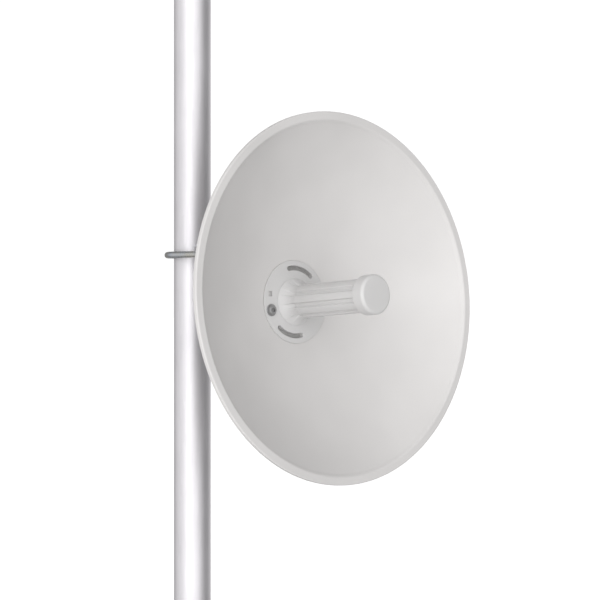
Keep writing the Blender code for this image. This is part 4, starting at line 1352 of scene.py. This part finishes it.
# Sections of the gland's shell and seal as (radius, y), with the open end at y = -GLAND_LENGTH
GLAND_SHELL = [(0.0, 0.0), (GLAND_RADIUS, 0.0), (GLAND_RADIUS, -0.0045), (0.0070, -0.0052)]
GLAND_SHELL += [(0.0070, -0.0058), (0.0079, -0.0062), (0.0073, -0.0110), (0.0062, -GLAND_LENGTH)]
GLAND_SHELL += [(0.0044, -GLAND_LENGTH), (0.0044, -0.0110), (0.0, -0.0110)]
GLAND_SEAL = [(0.0, -0.0105), (0.0042, -0.0105), (0.0042, -0.0132), (0.0030, -0.0137)]
GLAND_SEAL += [(0.0022, -0.0130), (0.0, -0.0130)]


def make_port_cover():
    """A rounded block cut to the housing's curve."""
    outline = rounded_rectangle(PORT_COVER_WIDTH / 2, PORT_COVER_LENGTH / 2, PORT_COVER_CORNER)
    block = plate("port_cover", [outline], PORT_COVER_HEIGHT)
    block.transform(Matrix.Translation((0, PORT_COVER_Y, PORT_COVER_BOTTOM)))
    cover = soften(new_piece("port_lid", block, ASA), PORT_COVER_ROUND, 4)
    fit_radius = HOUSING_RADIUS + PORT_COVER_FIT
    core = turned("core", [(0.0, RIM_Y), (fit_radius, RIM_Y), (fit_radius, 0.0), (0.0, 0.0)], 160)
    hollowed(cover, raised(core, -AXIS_DROP))
    cover.data.transform(DISH_FRAME)
    return attach(cover, "dish", "white_plastic", "port_cover")


def make_gland():
    """Fixed collar, ridged nut and rubber seal, pointing down."""
    shell = taken(soften(new_piece("shell", turned("shell", GLAND_SHELL, 64)), 0.0003, 2))
    ridges = grown(
        "ridges",
        RIDGE_RING,
        NYLON,
        count=GLAND_RIDGES,
        ring_radius=GLAND_RADIUS - 0.0011,
        ridge_width=0.0012,
        ridge_height=0.0014,
        ridge_length=0.0055,
    )
    ridges.transform(Matrix.Translation((0, GLAND_RIDGE_Y, 0)) @ UPRIGHT)
    seal = turned("seal", GLAND_SEAL, 48)
    mesh = joined("cable_gland", [(shell, NYLON), (ridges, NYLON), (seal, RUBBER)])
    mesh.transform(UPRIGHT)
    mesh.transform(DISH_FRAME @ Matrix.Translation((0, PORT_COVER_Y, PORT_COVER_BOTTOM - PART_LINE)))
    return attach(new_piece("port_gland", mesh), "dish", "black_plastic", "cable_gland")


make_port_cover()
make_gland()

# %% [markdown]
# ## Folded sheet metal
#
# Both brackets and the jaw are cut flat from 3 mm steel and folded into channels. Modelling them
# the same way gives true bend radii. The flat blank is drawn as an outline with its holes, cut
# along the bend lines, and each point beyond a bend line is wrapped around the bend. Solidify gives
# the sheet its thickness, and a small bevel softens the cut edges.

# %% Folding a flat blank
SHEET = 0.003
BEND_RADIUS = 0.0045
BEND_STEPS = 8
CUT_EDGE_ROUND = 0.0003


def developed(depth, half_width):
    """Distance from the blank's middle line of a place that lies depth beyond the web's outer face."""
    flat_half = half_width - BEND_RADIUS
    if depth < BEND_RADIUS:
        return flat_half + BEND_RADIUS * math.acos(1 - depth / BEND_RADIUS)
    return flat_half + BEND_RADIUS * math.pi / 2 + depth - BEND_RADIUS


def folded(across, half_width):
    """Where a blank's point ends up: its distance across the channel, and its depth along a flange."""
    flat_half = half_width - BEND_RADIUS
    bend_length = BEND_RADIUS * math.pi / 2
    distance = abs(across)
    if distance <= flat_half:
        return across, 0.0
    angle = min(distance - flat_half, bend_length) / BEND_RADIUS
    straight = max(distance - flat_half - bend_length, 0.0)
    side = math.copysign(flat_half + BEND_RADIUS * math.sin(angle), across)
    return side, BEND_RADIUS * (1 - math.cos(angle)) + straight


def cut_across(bm, lines):
    """Cut the blank at each of these distances from its middle line."""
    for line in lines:
        whole = bm.verts[:] + bm.edges[:] + bm.faces[:]
        bmesh.ops.bisect_plane(bm, geom=whole, dist=1e-7, plane_co=(line, 0, 0), plane_no=(1, 0, 0))


def folded_channel(name, flange, flange_holes, web_holes, half_width, place):
    """Fold a blank into a channel; flange points are (depth, along), web points (across, along)."""
    right = [(developed(depth, half_width), along) for depth, along in flange]
    left = [(-across, along) for across, along in reversed(right)]
    loops = [right + left, *web_holes]
    for hole in flange_holes:
        loops.append([(developed(depth, half_width), along) for depth, along in hole])
        loops.append([(-developed(depth, half_width), along) for depth, along in hole])
    bm = bmesh.new()
    filled_outline(bm, loops, lambda across, along: Vector((across, 0.0, along)))
    start = half_width - BEND_RADIUS
    bend = [start + BEND_RADIUS * math.pi / 2 * step / BEND_STEPS for step in range(BEND_STEPS + 1)]
    cut_across(bm, [-line for line in bend] + bend)
    bmesh.ops.dissolve_limit(bm, angle_limit=0.001, verts=bm.verts, edges=bm.edges)
    cut_across(bm, [side * line for line in bend for side in (-1, 1)])
    for vertex in bm.verts:
        across, depth = folded(vertex.co.x, half_width)
        vertex.co = place(across, depth, vertex.co.z)
    bmesh.ops.recalc_face_normals(bm, faces=bm.faces)
    bm.normal_update()
    outwards = place(0.0, -1.0, 0.0) - place(0.0, 0.0, 0.0)
    web = max(bm.faces, key=lambda face: abs(face.normal.dot(outwards)) * face.calc_area())
    if web.normal.dot(outwards) < 0:
        bmesh.ops.reverse_faces(bm, faces=bm.faces)
    piece = thickened(new_piece(name, mesh_from(bm, name), ZINC), SHEET, even=True)
    return soften(piece, CUT_EDGE_ROUND, 2)


print("a 90 degree bend uses", round(BEND_RADIUS * math.pi / 2 * 1000, 2), "mm of the blank")

# %% [markdown]
# ## The pole bracket
#
# This channel is bolted to the pole by the U-bolt. Its web lies against the jaw, and its two ears
# reach forward to carry the tilt pivot and the lock bolts.

# %% Pole bracket
CLAMP_FACE_Y = -0.072
U_BOLT_Z = PIVOT.z + 0.0475
LEG_X = 0.035
BOLT_HOLE_RADIUS = 0.0045
POLE_BRACKET_HALF_WIDTH = 0.047
POLE_BRACKET_TOP = 0.076
POLE_BRACKET_BOTTOM = -0.060
LOCK_RADIUS = 0.044
LOCK_ANGLE = math.radians(4.0)
EAR_NOSE_RADIUS = 0.019
EAR_LOBE_RADIUS = 0.0115
CENTRE_WINDOW_RADIUS = 0.014


def lock_point(tilt):
    """The lock bolt's place from the pivot, as (y, z), for a tilt measured from level."""
    angle = LOCK_ANGLE - tilt
    return LOCK_RADIUS * math.sin(angle), -LOCK_RADIUS * math.cos(angle)


def make_pole_bracket():
    """Fold the pole bracket: depth runs from the web towards the dish."""
    back = CLAMP_FACE_Y - PIVOT.y
    lock_y, lock_z = lock_point(TILT)
    ear = [(back - 0.014, POLE_BRACKET_TOP), (back - 0.016, POLE_BRACKET_TOP - 0.003), (0.010, 0.026)]
    ear += arc((0.0, 0.0), EAR_NOSE_RADIUS, math.radians(65.0), math.radians(195.0), 20)
    ear += arc((lock_y, lock_z), EAR_LOBE_RADIUS, math.radians(175.0), math.radians(265.0), 12)
    flange = [(0.0, POLE_BRACKET_TOP)] + [(back - y, z) for y, z in ear] + [(0.0, POLE_BRACKET_BOTTOM)]
    holes = [circle((back, 0.0), BOLT_HOLE_RADIUS), circle((back - lock_y, lock_z), BOLT_HOLE_RADIUS)]
    web_holes = [circle((x, U_BOLT_Z - PIVOT.z), BOLT_HOLE_RADIUS) for x in (-LEG_X, LEG_X)]
    web_holes.append(circle((0.0, 0.0), CENTRE_WINDOW_RADIUS, 64))
    bracket = folded_channel(
        "pole_channel",
        flange[::-1],
        holes,
        web_holes,
        POLE_BRACKET_HALF_WIDTH,
        lambda across, depth, along: Vector((across, CLAMP_FACE_Y - depth, PIVOT.z + along)),
    )
    return attach(bracket, "clamp", "zinc_plated_steel", "pole_bracket")


make_pole_bracket()

# %% [markdown]
# ## The dish bracket
#
# The second channel is bolted to the radio's back. Its ears pass outside the pole bracket's ears,
# and each has a curved slot around the pivot, so that the dish can be tilted 20 degrees either way
# and locked.

# %% Dish bracket
TILT_RANGE = math.radians(20.0)
DISH_EAR_OUTER_X = POLE_BRACKET_HALF_WIDTH + 0.0005 + SHEET
BRACKET_WEB_FRONT_Y = -0.032
BRACKET_HALF_HEIGHT = 0.045
BRACKET_BOLT_OFFSET = 0.028
BRACKET_BOLT_HOLE_RADIUS = 0.0034
DISH_EAR_NOSE_RADIUS = 0.015
LOCK_RIM = 0.007
LOBE_MARGIN = math.radians(9.0)


def bracket_bolt_places():
    """The four bolts of the dish bracket, as (x, z) in the dish frame."""
    offset = BRACKET_BOLT_OFFSET
    return [(x, z - AXIS_DROP) for z in (offset, -offset) for x in (-offset, offset)]


def make_dish_bracket():
    """Fold the dish bracket: depth runs from the web towards the pole."""
    top = BRACKET_HALF_HEIGHT - AXIS_DROP
    bottom = -BRACKET_HALF_HEIGHT - AXIS_DROP
    front = BRACKET_WEB_FRONT_Y
    outer = LOCK_RADIUS + BOLT_HOLE_RADIUS + LOCK_RIM
    first = -math.pi / 2 + LOCK_ANGLE + TILT_RANGE + LOBE_MARGIN
    last = -math.pi / 2 + LOCK_ANGLE - TILT_RANGE - LOBE_MARGIN
    ear = [(front, top), (front + 0.010, top)]
    ear += arc((0.0, 0.0), DISH_EAR_NOSE_RADIUS, math.radians(80.0), math.radians(-20.0), 16)
    ear += arc((0.0, 0.0), outer, first, last, 28)
    ear.append((front, bottom))
    flange = [(y - front, z) for y, z in ear]
    down = -math.pi / 2 + LOCK_ANGLE
    slot = curved_slot(LOCK_RADIUS, BOLT_HOLE_RADIUS, down - TILT_RANGE, down + TILT_RANGE)
    holes = [circle((-front, 0.0), BOLT_HOLE_RADIUS), [(y - front, z) for y, z in slot]]
    web_holes = [circle(place, BRACKET_BOLT_HOLE_RADIUS) for place in bracket_bolt_places()]
    bracket = folded_channel(
        "dish_channel",
        flange[::-1],
        holes,
        web_holes,
        DISH_EAR_OUTER_X,
        lambda across, depth, along: DISH_FRAME @ Vector((across, front + depth, along)),
    )
    return attach(bracket, "dish", "zinc_plated_steel", "dish_bracket")


make_dish_bracket()

# %% [markdown]
# ## The toothed jaw
#
# The jaw bites the pole from the front, while the U-bolt pulls from behind. Its two flanges end in
# a shallow V with small teeth, so the clamp can't slip round the pole in a storm.

# %% Jaw
POLE_RADIUS = 0.02225
TOUCH_GAP = 0.0003
JAW_HALF_LENGTH = 0.046
JAW_TOP = 0.013
JAW_BOTTOM = -0.028
JAW_TIP_X = 0.0112
JAW_SLOPE = math.radians(25.0)
JAW_TOOTH_DEPTH = 0.0012
JAW_TEETH = 4


def make_jaw():
    """Fold the jaw: across is up and down, depth runs towards the pole, along is X."""
    front = CLAMP_FACE_Y + TOUCH_GAP
    apex = -(POLE_RADIUS + TOUCH_GAP) / math.cos(JAW_SLOPE) - front
    slope = math.tan(JAW_SLOPE)
    teeth = []
    for tooth in range(JAW_TEETH):
        tip = JAW_TIP_X * (tooth + 1) / JAW_TEETH
        valley = tip - JAW_TIP_X * 0.5 / JAW_TEETH
        teeth.append((apex + valley * slope - JAW_TOOTH_DEPTH, valley))
        teeth.append((apex + tip * slope, tip))
    other_side = [(depth, -along) for depth, along in reversed(teeth)]
    flange = [(0.0, -JAW_HALF_LENGTH), (SHEET, -JAW_HALF_LENGTH), *other_side, (apex, 0.0), *teeth]
    flange += [(SHEET, JAW_HALF_LENGTH), (0.0, JAW_HALF_LENGTH)]
    middle = (JAW_TOP + JAW_BOTTOM) / 2
    web_holes = [circle((-middle, x), BOLT_HOLE_RADIUS) for x in (-LEG_X, LEG_X)]
    jaw = folded_channel(
        "toothed_jaw",
        flange,
        [],
        web_holes,
        (JAW_TOP - JAW_BOTTOM) / 2,
        lambda across, depth, along: Vector((along, front + depth, U_BOLT_Z + middle + across)),
    )
    return attach(jaw, "clamp", "zinc_plated_steel", "pole_jaw")


make_jaw()

# %% [markdown]
# ## Hexagons and threads
#
# A nut or bolt head is a hexagon bar cut by a cone, and that is exactly the rule the tree uses: at
# each place it takes the smaller of the hexagon's radius and the cone's. The curved edges where the
# two meet come by themselves. A thread is a small profile swept along a helix over a plain core.

# %% Trees for hexagons and threads
CHAMFER_SLOPE = math.sqrt(3.0)
# Where the lower face, the sides and the upper face end, as shares of the way along the section
LOWER_FACE_END = 4 / 24
SIDES_END = 18 / 24
UPPER_FACE_END = 22 / 24
THREAD_RIDGE_SHARE = 0.62
# How much of a hexagon's width its face keeps inside the chamfer; a large share means no chamfer
FACE_SHARE = 0.95
NO_CHAMFER = 3.0


def hex_block_tree():
    """A hexagon block from z = 0 up, chamfered by a cone above and, if asked, below, with a bore."""
    sizes = {
        "Across Flats": 0.013,
        "Height": 0.0065,
        "Bore Radius": 0.004,
        "Upper Face Share": 0.96,
        "Lower Face Share": 0.96,
    }
    tree, size = new_tree("hex_block", sizes)
    grid, u, v = rolled_grid(tree, 24, 72)
    half = add_node(
        tree, "ShaderNodeMath", {0: size["Across Flats"], 1: 0.5}, operation="MULTIPLY"
    ).outputs[0]
    outwards = add_node(
        tree,
        "ShaderNodeMapRange",
        {0: u, 1: 0.0, 2: LOWER_FACE_END, 3: size["Bore Radius"], 4: size["Across Flats"]},
    )
    inwards = add_node(tree, "ShaderNodeMapRange", {0: u, 1: SIDES_END, 2: UPPER_FACE_END, 3: 1.0, 4: 0.0})
    spread = add_node(
        tree, "ShaderNodeMath", {0: outwards, 1: size["Bore Radius"]}, operation="SUBTRACT"
    )
    reach = add_node(
        tree,
        "ShaderNodeMath",
        {0: spread, 1: inwards, 2: size["Bore Radius"]},
        operation="MULTIPLY_ADD",
    )
    rise = add_node(
        tree,
        "ShaderNodeMapRange",
        {0: u, 1: LOWER_FACE_END, 2: SIDES_END, 3: 0.0, 4: size["Height"]},
        interpolation_type="SMOOTHSTEP",
    )
    fall = add_node(
        tree, "ShaderNodeMapRange", {0: u, 1: UPPER_FACE_END, 2: 1.0, 3: 0.0, 4: size["Height"]}
    )
    height = add_node(tree, "ShaderNodeMath", {0: rise, 1: fall}, operation="SUBTRACT")
    below_top = add_node(
        tree, "ShaderNodeMath", {0: size["Height"], 1: rise}, operation="SUBTRACT"
    )
    upper_face = add_node(
        tree, "ShaderNodeMath", {0: half, 1: size["Upper Face Share"]}, operation="MULTIPLY"
    )
    lower_face = add_node(
        tree, "ShaderNodeMath", {0: half, 1: size["Lower Face Share"]}, operation="MULTIPLY"
    )
    upper_cone = add_node(
        tree,
        "ShaderNodeMath",
        {0: below_top, 1: CHAMFER_SLOPE, 2: upper_face},
        operation="MULTIPLY_ADD",
    )
    lower_cone = add_node(
        tree,
        "ShaderNodeMath",
        {0: rise, 1: CHAMFER_SLOPE, 2: lower_face},
        operation="MULTIPLY_ADD",
    )
    angle = add_node(tree, "ShaderNodeMath", {0: v, 1: 2 * math.pi}, operation="MULTIPLY")
    from_flat = add_node(
        tree,
        "ShaderNodeMath",
        {0: angle, 1: math.pi / 6, 2: -math.pi / 6},
        operation="WRAP",
    )
    cosine = add_node(tree, "ShaderNodeMath", {0: from_flat}, operation="COSINE")
    flat = add_node(tree, "ShaderNodeMath", {0: half, 1: cosine}, operation="DIVIDE")
    radius = reach.outputs[0]
    for limit in (flat, upper_cone, lower_cone):
        radius = add_node(tree, "ShaderNodeMath", {0: radius, 1: limit}, operation="MINIMUM").outputs[0]
    finish_tree(tree, rolled_up(tree, grid, v, radius, height.outputs[0]), size)
    return tree


def thread_tree():
    """A helical ridge around Z, from z = 0 up."""
    sizes = {"Radius": 0.004, "Pitch": 0.00125, "Length": 0.01, "Thread Depth": 0.0006}
    tree, size = new_tree("rolled_thread", sizes)
    middle = add_node(
        tree,
        "ShaderNodeMath",
        {0: size["Thread Depth"], 1: -THREAD_RIDGE_SHARE, 2: size["Radius"]},
        operation="MULTIPLY_ADD",
    )
    turns = add_node(tree, "ShaderNodeMath", {0: size["Length"], 1: size["Pitch"]}, operation="DIVIDE")
    helix = add_node(
        tree,
        "GeometryNodeCurveSpiral",
        {
            "Resolution": 24,
            "Rotations": turns,
            "Start Radius": middle,
            "End Radius": middle,
            "Height": size["Length"],
        },
    )
    upright = add_node(tree, "GeometryNodeSetCurveNormal", {0: helix}, mode="Z_UP")
    ridge_radius = add_node(
        tree, "ShaderNodeMath", {0: size["Thread Depth"], 1: THREAD_RIDGE_SHARE}, operation="MULTIPLY"
    )
    ridge = add_node(
        tree, "GeometryNodeCurvePrimitiveCircle", {"Resolution": 4, "Radius": ridge_radius}
    )
    swept = add_node(
        tree,
        "GeometryNodeCurveToMesh",
        {"Curve": upright, "Profile Curve": ridge, "Fill Caps": True},
    )
    finish_tree(tree, swept.outputs[0], size)
    return tree


def hex_solid(across_flats, height, bore_radius, upper_face_share, lower_face_share):
    """A closed hexagon block, made of zinc-plated steel."""
    block = grown(
        "hex_solid",
        HEX_BLOCK,
        ZINC,
        across_flats=across_flats,
        height=height,
        bore_radius=bore_radius,
        upper_face_share=upper_face_share,
        lower_face_share=lower_face_share,
    )
    return with_closed_ends(block)


HEX_BLOCK = hex_block_tree()
THREAD = thread_tree()
print("made trees", HEX_BLOCK.name, "and", THREAD.name)

# %% [markdown]
# ## The U-bolt
#
# The one fastener that the photograph shows: a bent 8 mm rod that passes behind the pole. Its
# legs are threaded where the nuts go, and plain around the bend.

# %% U-bolt
ROD_RADIUS = 0.004
THREAD_PITCH = 0.00125
THREAD_DEPTH = 0.0006
U_BEND_RADIUS = 0.031
LEG_END_Y = -0.098
LEG_THREAD_LENGTH = 0.046
THREAD_TIP = 0.0008


def rod_along(name, points, radius):
    """A round rod that follows a line of points, with closed ends."""
    curve = bpy.data.curves.new(name, "CURVE")
    curve.dimensions = "3D"
    curve.bevel_depth = radius
    curve.bevel_resolution = 6
    curve.use_fill_caps = True
    spline = curve.splines.new("POLY")
    spline.points.add(len(points) - 1)
    for point, place in zip(spline.points, points):
        point.co = (*place, 1.0)
    holder = bpy.data.objects.new(name, curve)
    bpy.context.scene.collection.objects.link(holder)
    mesh = bpy.data.meshes.new_from_object(holder.evaluated_get(bpy.context.evaluated_depsgraph_get()))
    bpy.data.objects.remove(holder)
    return with_closed_ends(mesh)


def threaded_end(length):
    """Core, helical thread and chamfered tip along Z from z = 0 to its length."""
    core = ROD_RADIUS - THREAD_DEPTH
    profile = [(0.0, 0.0), (core, 0.0), (core, length - THREAD_TIP)]
    profile += [(core - THREAD_TIP, length), (0.0, length)]
    solid = turned("core", profile, 24)
    solid.transform(UPRIGHT)
    sizes = {"radius": ROD_RADIUS, "pitch": THREAD_PITCH, "thread_depth": THREAD_DEPTH}
    helix = grown("helix", THREAD, ZINC, length=length - THREAD_PITCH, **sizes)
    return joined("threaded_end", [(solid, ZINC), (helix, ZINC)])


def make_u_bolt():
    """Plain rod around the bend, and a threaded stretch on each leg."""
    bend_y = POLE_RADIUS + TOUCH_GAP - U_BEND_RADIUS
    plain_end_y = LEG_END_Y + LEG_THREAD_LENGTH
    points = [(-LEG_X, plain_end_y)] + arc((0.0, bend_y), LEG_X, math.pi, 0.0, 48) + [(LEG_X, plain_end_y)]
    rod = rod_along("rod", [(x, y, U_BOLT_Z) for x, y in points], ROD_RADIUS)
    parts = [(rod, ZINC)]
    for x in (-LEG_X, LEG_X):
        thread = threaded_end(LEG_THREAD_LENGTH)
        thread.transform(Matrix.Translation((x, plain_end_y, U_BOLT_Z)) @ UPRIGHT)
        parts.append((thread, ZINC))
    return attach(new_piece("u_bolt_rod", joined("u_bolt", parts)), "clamp", "zinc_plated_steel", "u_bolt")


make_u_bolt()

# %% [markdown]
# ## Nuts, washers and bolts
#
# All the clamp's fasteners are M8. They are made once and stood on the places of their CAD nodes.

# %% Nuts, washers and bolts of the clamp
NUT_ACROSS_FLATS = 0.013
NUT_HEIGHT = 0.0065
WASHER_RADIUS = 0.008
WASHER_HOLE_RADIUS = 0.0043
WASHER_THICKNESS = 0.0016
HEAD_HEIGHT = 0.0053
BOLT_THREAD_LENGTH = 0.022
NUT_BORE_GAP = 0.0002
WASHER_EDGE_ROUND = 0.00035
SHANK_PLAY = 0.00005
SHORTEST_SHANK = 0.001


def hex_nut():
    """M8 nut along Z, chamfered on both faces, with the thread's edge showing in its bore."""
    return hex_solid(NUT_ACROSS_FLATS, NUT_HEIGHT, ROD_RADIUS + NUT_BORE_GAP, FACE_SHARE, FACE_SHARE)


def flat_washer():
    """Stamped washer along Z, its edges softened."""
    outlines = [circle((0, 0), WASHER_RADIUS), circle((0, 0), WASHER_HOLE_RADIUS)]
    mesh = plate("washer", outlines, WASHER_THICKNESS)
    return taken(soften(new_piece("washer", mesh), WASHER_EDGE_ROUND, 2))


def hex_bolt(length):
    """M8 bolt along Z: its head from z = 0, then a plain shank and a threaded end."""
    head = hex_solid(NUT_ACROSS_FLATS, HEAD_HEIGHT, 0.0, NO_CHAMFER, FACE_SHARE)
    plain = max(length - BOLT_THREAD_LENGTH, SHORTEST_SHANK)
    shank = raised(plate("shank", [circle((0, 0), ROD_RADIUS - SHANK_PLAY, 32)], plain), HEAD_HEIGHT)
    thread = raised(threaded_end(length - plain), HEAD_HEIGHT + plain)
    return joined("bolt", [(head, ZINC), (shank, ZINC), (thread, ZINC)])


def stand(name, mesh, node, direction):
    """Stand a fastener on the place of its CAD node, pointing along a direction."""
    mesh.transform(seat_on(node, direction))
    return attach(new_piece(name, mesh, ZINC), "clamp", "zinc_plated_steel", node)


def length_beyond_head(node):
    """The length of a bolt's shank along X, from its CAD node's box."""
    low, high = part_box(node)
    return high.x - low.x - HEAD_HEIGHT


def make_clamp_fasteners():
    """Two nuts and washers on the U-bolt, and the pivot and lock bolts with theirs."""
    for side in ("left", "right"):
        stand(f"u_nut_{side}", hex_nut(), f"u_bolt_nut_{side}", (0, -1, 0))
        stand(f"u_washer_{side}", flat_washer(), f"u_bolt_washer_{side}", (0, -1, 0))
    for side, sign in (("left", -1), ("right", 1)):
        stand(f"tilt_washer_{side}", flat_washer(), f"pivot_washer_{side}", (sign, 0, 0))
        bolt = hex_bolt(length_beyond_head(f"lock_bolt_{side}"))
        stand(f"locking_bolt_{side}", bolt, f"lock_bolt_{side}", (sign, 0, 0))
        stand(f"locking_washer_{side}", flat_washer(), f"lock_washer_{side}", (sign, 0, 0))
        stand(f"locking_nut_{side}", hex_nut(), f"lock_nut_{side}", (sign, 0, 0))
    stand("tilt_bolt", hex_bolt(length_beyond_head("pivot_bolt")), "pivot_bolt", (1, 0, 0))
    stand("tilt_nut", hex_nut(), "pivot_nut", (1, 0, 0))


make_clamp_fasteners()

# %% [markdown]
# ## The dish bracket's four bolts
#
# Four M6 bolts hold the dish bracket to the radio. They stand at the corners of a square, so a tree
# places one bolt on the four points of a grid.

# %% Dish bracket bolts
SMALL_ACROSS_FLATS = 0.010
SMALL_HEAD_HEIGHT = 0.0040
SMALL_FACE_SHARE = 0.94
SMALL_SHANK_LENGTH = 0.012


def bolt_square_tree(bolt):
    """One bolt on each corner of a square in the XY plane."""
    tree, size = new_tree("bolt_square", {"Side": 0.05})
    points = add_node(
        tree,
        "GeometryNodeMeshGrid",
        {"Size X": size["Side"], "Size Y": size["Side"], "Vertices X": 2, "Vertices Y": 2},
    )
    source = add_node(tree, "GeometryNodeObjectInfo", {"Object": bolt})
    placed = add_node(
        tree,
        "GeometryNodeInstanceOnPoints",
        {"Points": points.outputs["Mesh"], "Instance": source.outputs["Geometry"]},
    )
    finish_tree(tree, placed.outputs[0], size)
    return tree


def make_bracket_bolts():
    """Grow four bolt heads and lay them on the dish bracket's web."""
    head = hex_solid(SMALL_ACROSS_FLATS, SMALL_HEAD_HEIGHT, 0.0, SMALL_FACE_SHARE, NO_CHAMFER)
    shank = plate("shank", [circle((0, 0), SCREW_SHANK_RADIUS, 24)], SMALL_SHANK_LENGTH)
    raised(shank, -SMALL_SHANK_LENGTH)
    single = new_piece("single_bolt", joined("single_bolt", [(head, ZINC), (shank, ZINC)]))
    mesh = grown("bracket_bolts", bolt_square_tree(single), ZINC, side=2 * BRACKET_BOLT_OFFSET)
    bpy.data.objects.remove(single)
    mesh.transform(along_dish_axis(BRACKET_WEB_FRONT_Y + SHEET + TOUCH_GAP))
    nodes = [f"bracket_bolt_{number}" for number in range(1, 5)]
    return attach(new_piece("bracket_bolts", mesh), "dish", "zinc_plated_steel", *nodes)


make_bracket_bolts()

# %% [markdown]
# ## The pole, its cap and its foot
#
# The pole is a standard tube of 44.5 mm, hot-dip galvanised after its foot plate was welded on. The
# weld is a row of overlapping ripples, each where the welder paused, so its tree makes one bead
# whose thickness rises and falls at an even step around the pole.

# %% Pole, cap, foot plate and weld
POLE_WALL = 0.002
POLE_TOP_Z = 0.860
FOOT_SIDE = 0.140
FOOT_THICKNESS = 0.008
FOOT_CORNER_RADIUS = 0.014
FOOT_HOLE_OFFSET = 0.052
FOOT_HOLE_RADIUS = 0.0055
CAP_HEIGHT = 0.010
POLE_CAP_SKIN = 0.0016
POLE_CAP_DISC_RADIUS = 0.012
POLE_CAP_GROOVE = 0.001
POLE_CAP_STEP = 0.0008
POLE_CAP_ROUND = 0.004
POLE_CAP_PLUG = 0.018
FOOT_EDGE_ROUND = 0.0007
TUBE_EDGE_ROUND = 0.0004
CAP_EDGE_ROUND = 0.0002
WELD_LEG = 0.0048
WELD_RIPPLES = 56


def weld_bead_tree():
    """A bead around Z whose section swells and shrinks in ripples."""
    sizes = {"Ring Radius": 0.02, "Leg": 0.004, "Ripples": 50, "Ripple Share": 0.12}
    tree, size = new_tree("weld_bead", sizes)
    grid, u, v = rolled_grid(tree, 12, 448)
    phase = add_node(tree, "ShaderNodeMath", {0: v, 1: size["Ripples"]}, operation="MULTIPLY")
    saw = add_node(tree, "ShaderNodeMath", {0: phase}, operation="FRACT")
    swell = add_node(tree, "ShaderNodeMapRange", {0: saw, 1: 0.0, 2: 1.0, 3: 0.0, 4: size["Ripple Share"]})
    share = add_node(tree, "ShaderNodeMath", {0: 1.0, 1: swell}, operation="SUBTRACT")
    leg = add_node(tree, "ShaderNodeMath", {0: size["Leg"], 1: share}, operation="MULTIPLY").outputs[0]
    turn = add_node(tree, "ShaderNodeMath", {0: u, 1: 2 * math.pi}, operation="MULTIPLY").outputs[0]
    cosine = add_node(tree, "ShaderNodeMath", {0: turn}, operation="COSINE").outputs[0]
    sine = add_node(tree, "ShaderNodeMath", {0: turn}, operation="SINE").outputs[0]
    radius = add_node(
        tree, "ShaderNodeMath", {0: cosine, 1: leg, 2: size["Ring Radius"]}, operation="MULTIPLY_ADD"
    )
    height = add_node(tree, "ShaderNodeMath", {0: sine, 1: leg}, operation="MULTIPLY")
    finish_tree(tree, rolled_up(tree, grid, v, radius.outputs[0], height.outputs[0]), size)
    return tree


def make_foot_plate():
    """Square plate with round corners and four anchor holes."""
    outline = rounded_rectangle(FOOT_SIDE / 2, FOOT_SIDE / 2, FOOT_CORNER_RADIUS)
    offsets = (-FOOT_HOLE_OFFSET, FOOT_HOLE_OFFSET)
    holes = [circle((x, y), FOOT_HOLE_RADIUS) for x in offsets for y in offsets]
    mesh = plate("foot", [outline, *holes], FOOT_THICKNESS)
    foot = soften(new_piece("foot_base", mesh, GALVANISED_PLATE), FOOT_EDGE_ROUND)
    return attach(foot, "pole", "galvanised_steel", "foot_plate")


def make_weld():
    """The ripple bead in the corner between pole and foot plate."""
    sizes = {"ring_radius": POLE_RADIUS, "leg": WELD_LEG, "ripples": WELD_RIPPLES}
    mesh = grown("weld", weld_bead_tree(), GALVANISED_PLATE, **sizes)
    raised(with_closed_ends(mesh), FOOT_THICKNESS)
    return attach(new_piece("foot_weld", mesh), "pole", "galvanised_steel")


def make_tube():
    """The tube, its cut end deburred."""
    bottom = FOOT_THICKNESS + TOUCH_GAP
    inner = POLE_RADIUS - POLE_WALL
    profile = [(inner, bottom), (POLE_RADIUS, bottom), (POLE_RADIUS, POLE_TOP_Z), (inner, POLE_TOP_Z)]
    mesh = turned("tube", profile, 160)
    mesh.transform(UPRIGHT)
    tube = soften(new_piece("pole_shaft", mesh, GALVANISED_TUBE), TUBE_EDGE_ROUND, 2)
    return attach(tube, "pole", "galvanised_steel", "pole_tube")


def make_pole_cap():
    """Moulded cap: a domed top with a small step, and a plug inside the tube."""
    bore = POLE_RADIUS - POLE_WALL - TOUCH_GAP
    top = POLE_TOP_Z + CAP_HEIGHT
    seat = POLE_TOP_Z + TOUCH_GAP
    rim = POLE_RADIUS + POLE_CAP_SKIN / 2
    corner = rim - POLE_CAP_ROUND
    edge = top - POLE_CAP_STEP
    groove = POLE_CAP_DISC_RADIUS + POLE_CAP_GROOVE
    profile = [(0.0, top), (POLE_CAP_DISC_RADIUS, top), (groove, top - POLE_CAP_GROOVE / 2), (corner, edge)]
    profile += arc((corner, edge - POLE_CAP_ROUND), POLE_CAP_ROUND, math.pi / 2, 0.0, 8)[1:]
    plug_end = POLE_TOP_Z - POLE_CAP_PLUG
    inner = bore - POLE_CAP_SKIN
    profile += [(rim, seat), (bore, seat), (bore, plug_end), (inner, plug_end)]
    profile += [(inner, top - 2 * POLE_CAP_SKIN), (0.0, top - 2 * POLE_CAP_SKIN)]
    mesh = turned("cap", profile, 96)
    mesh.transform(UPRIGHT)
    cap = soften(new_piece("pole_end_cap", mesh, NYLON), CAP_EDGE_ROUND, 2)
    return attach(cap, "pole", "black_plastic", "pole_cap")


make_foot_plate()
make_weld()
make_tube()
make_pole_cap()
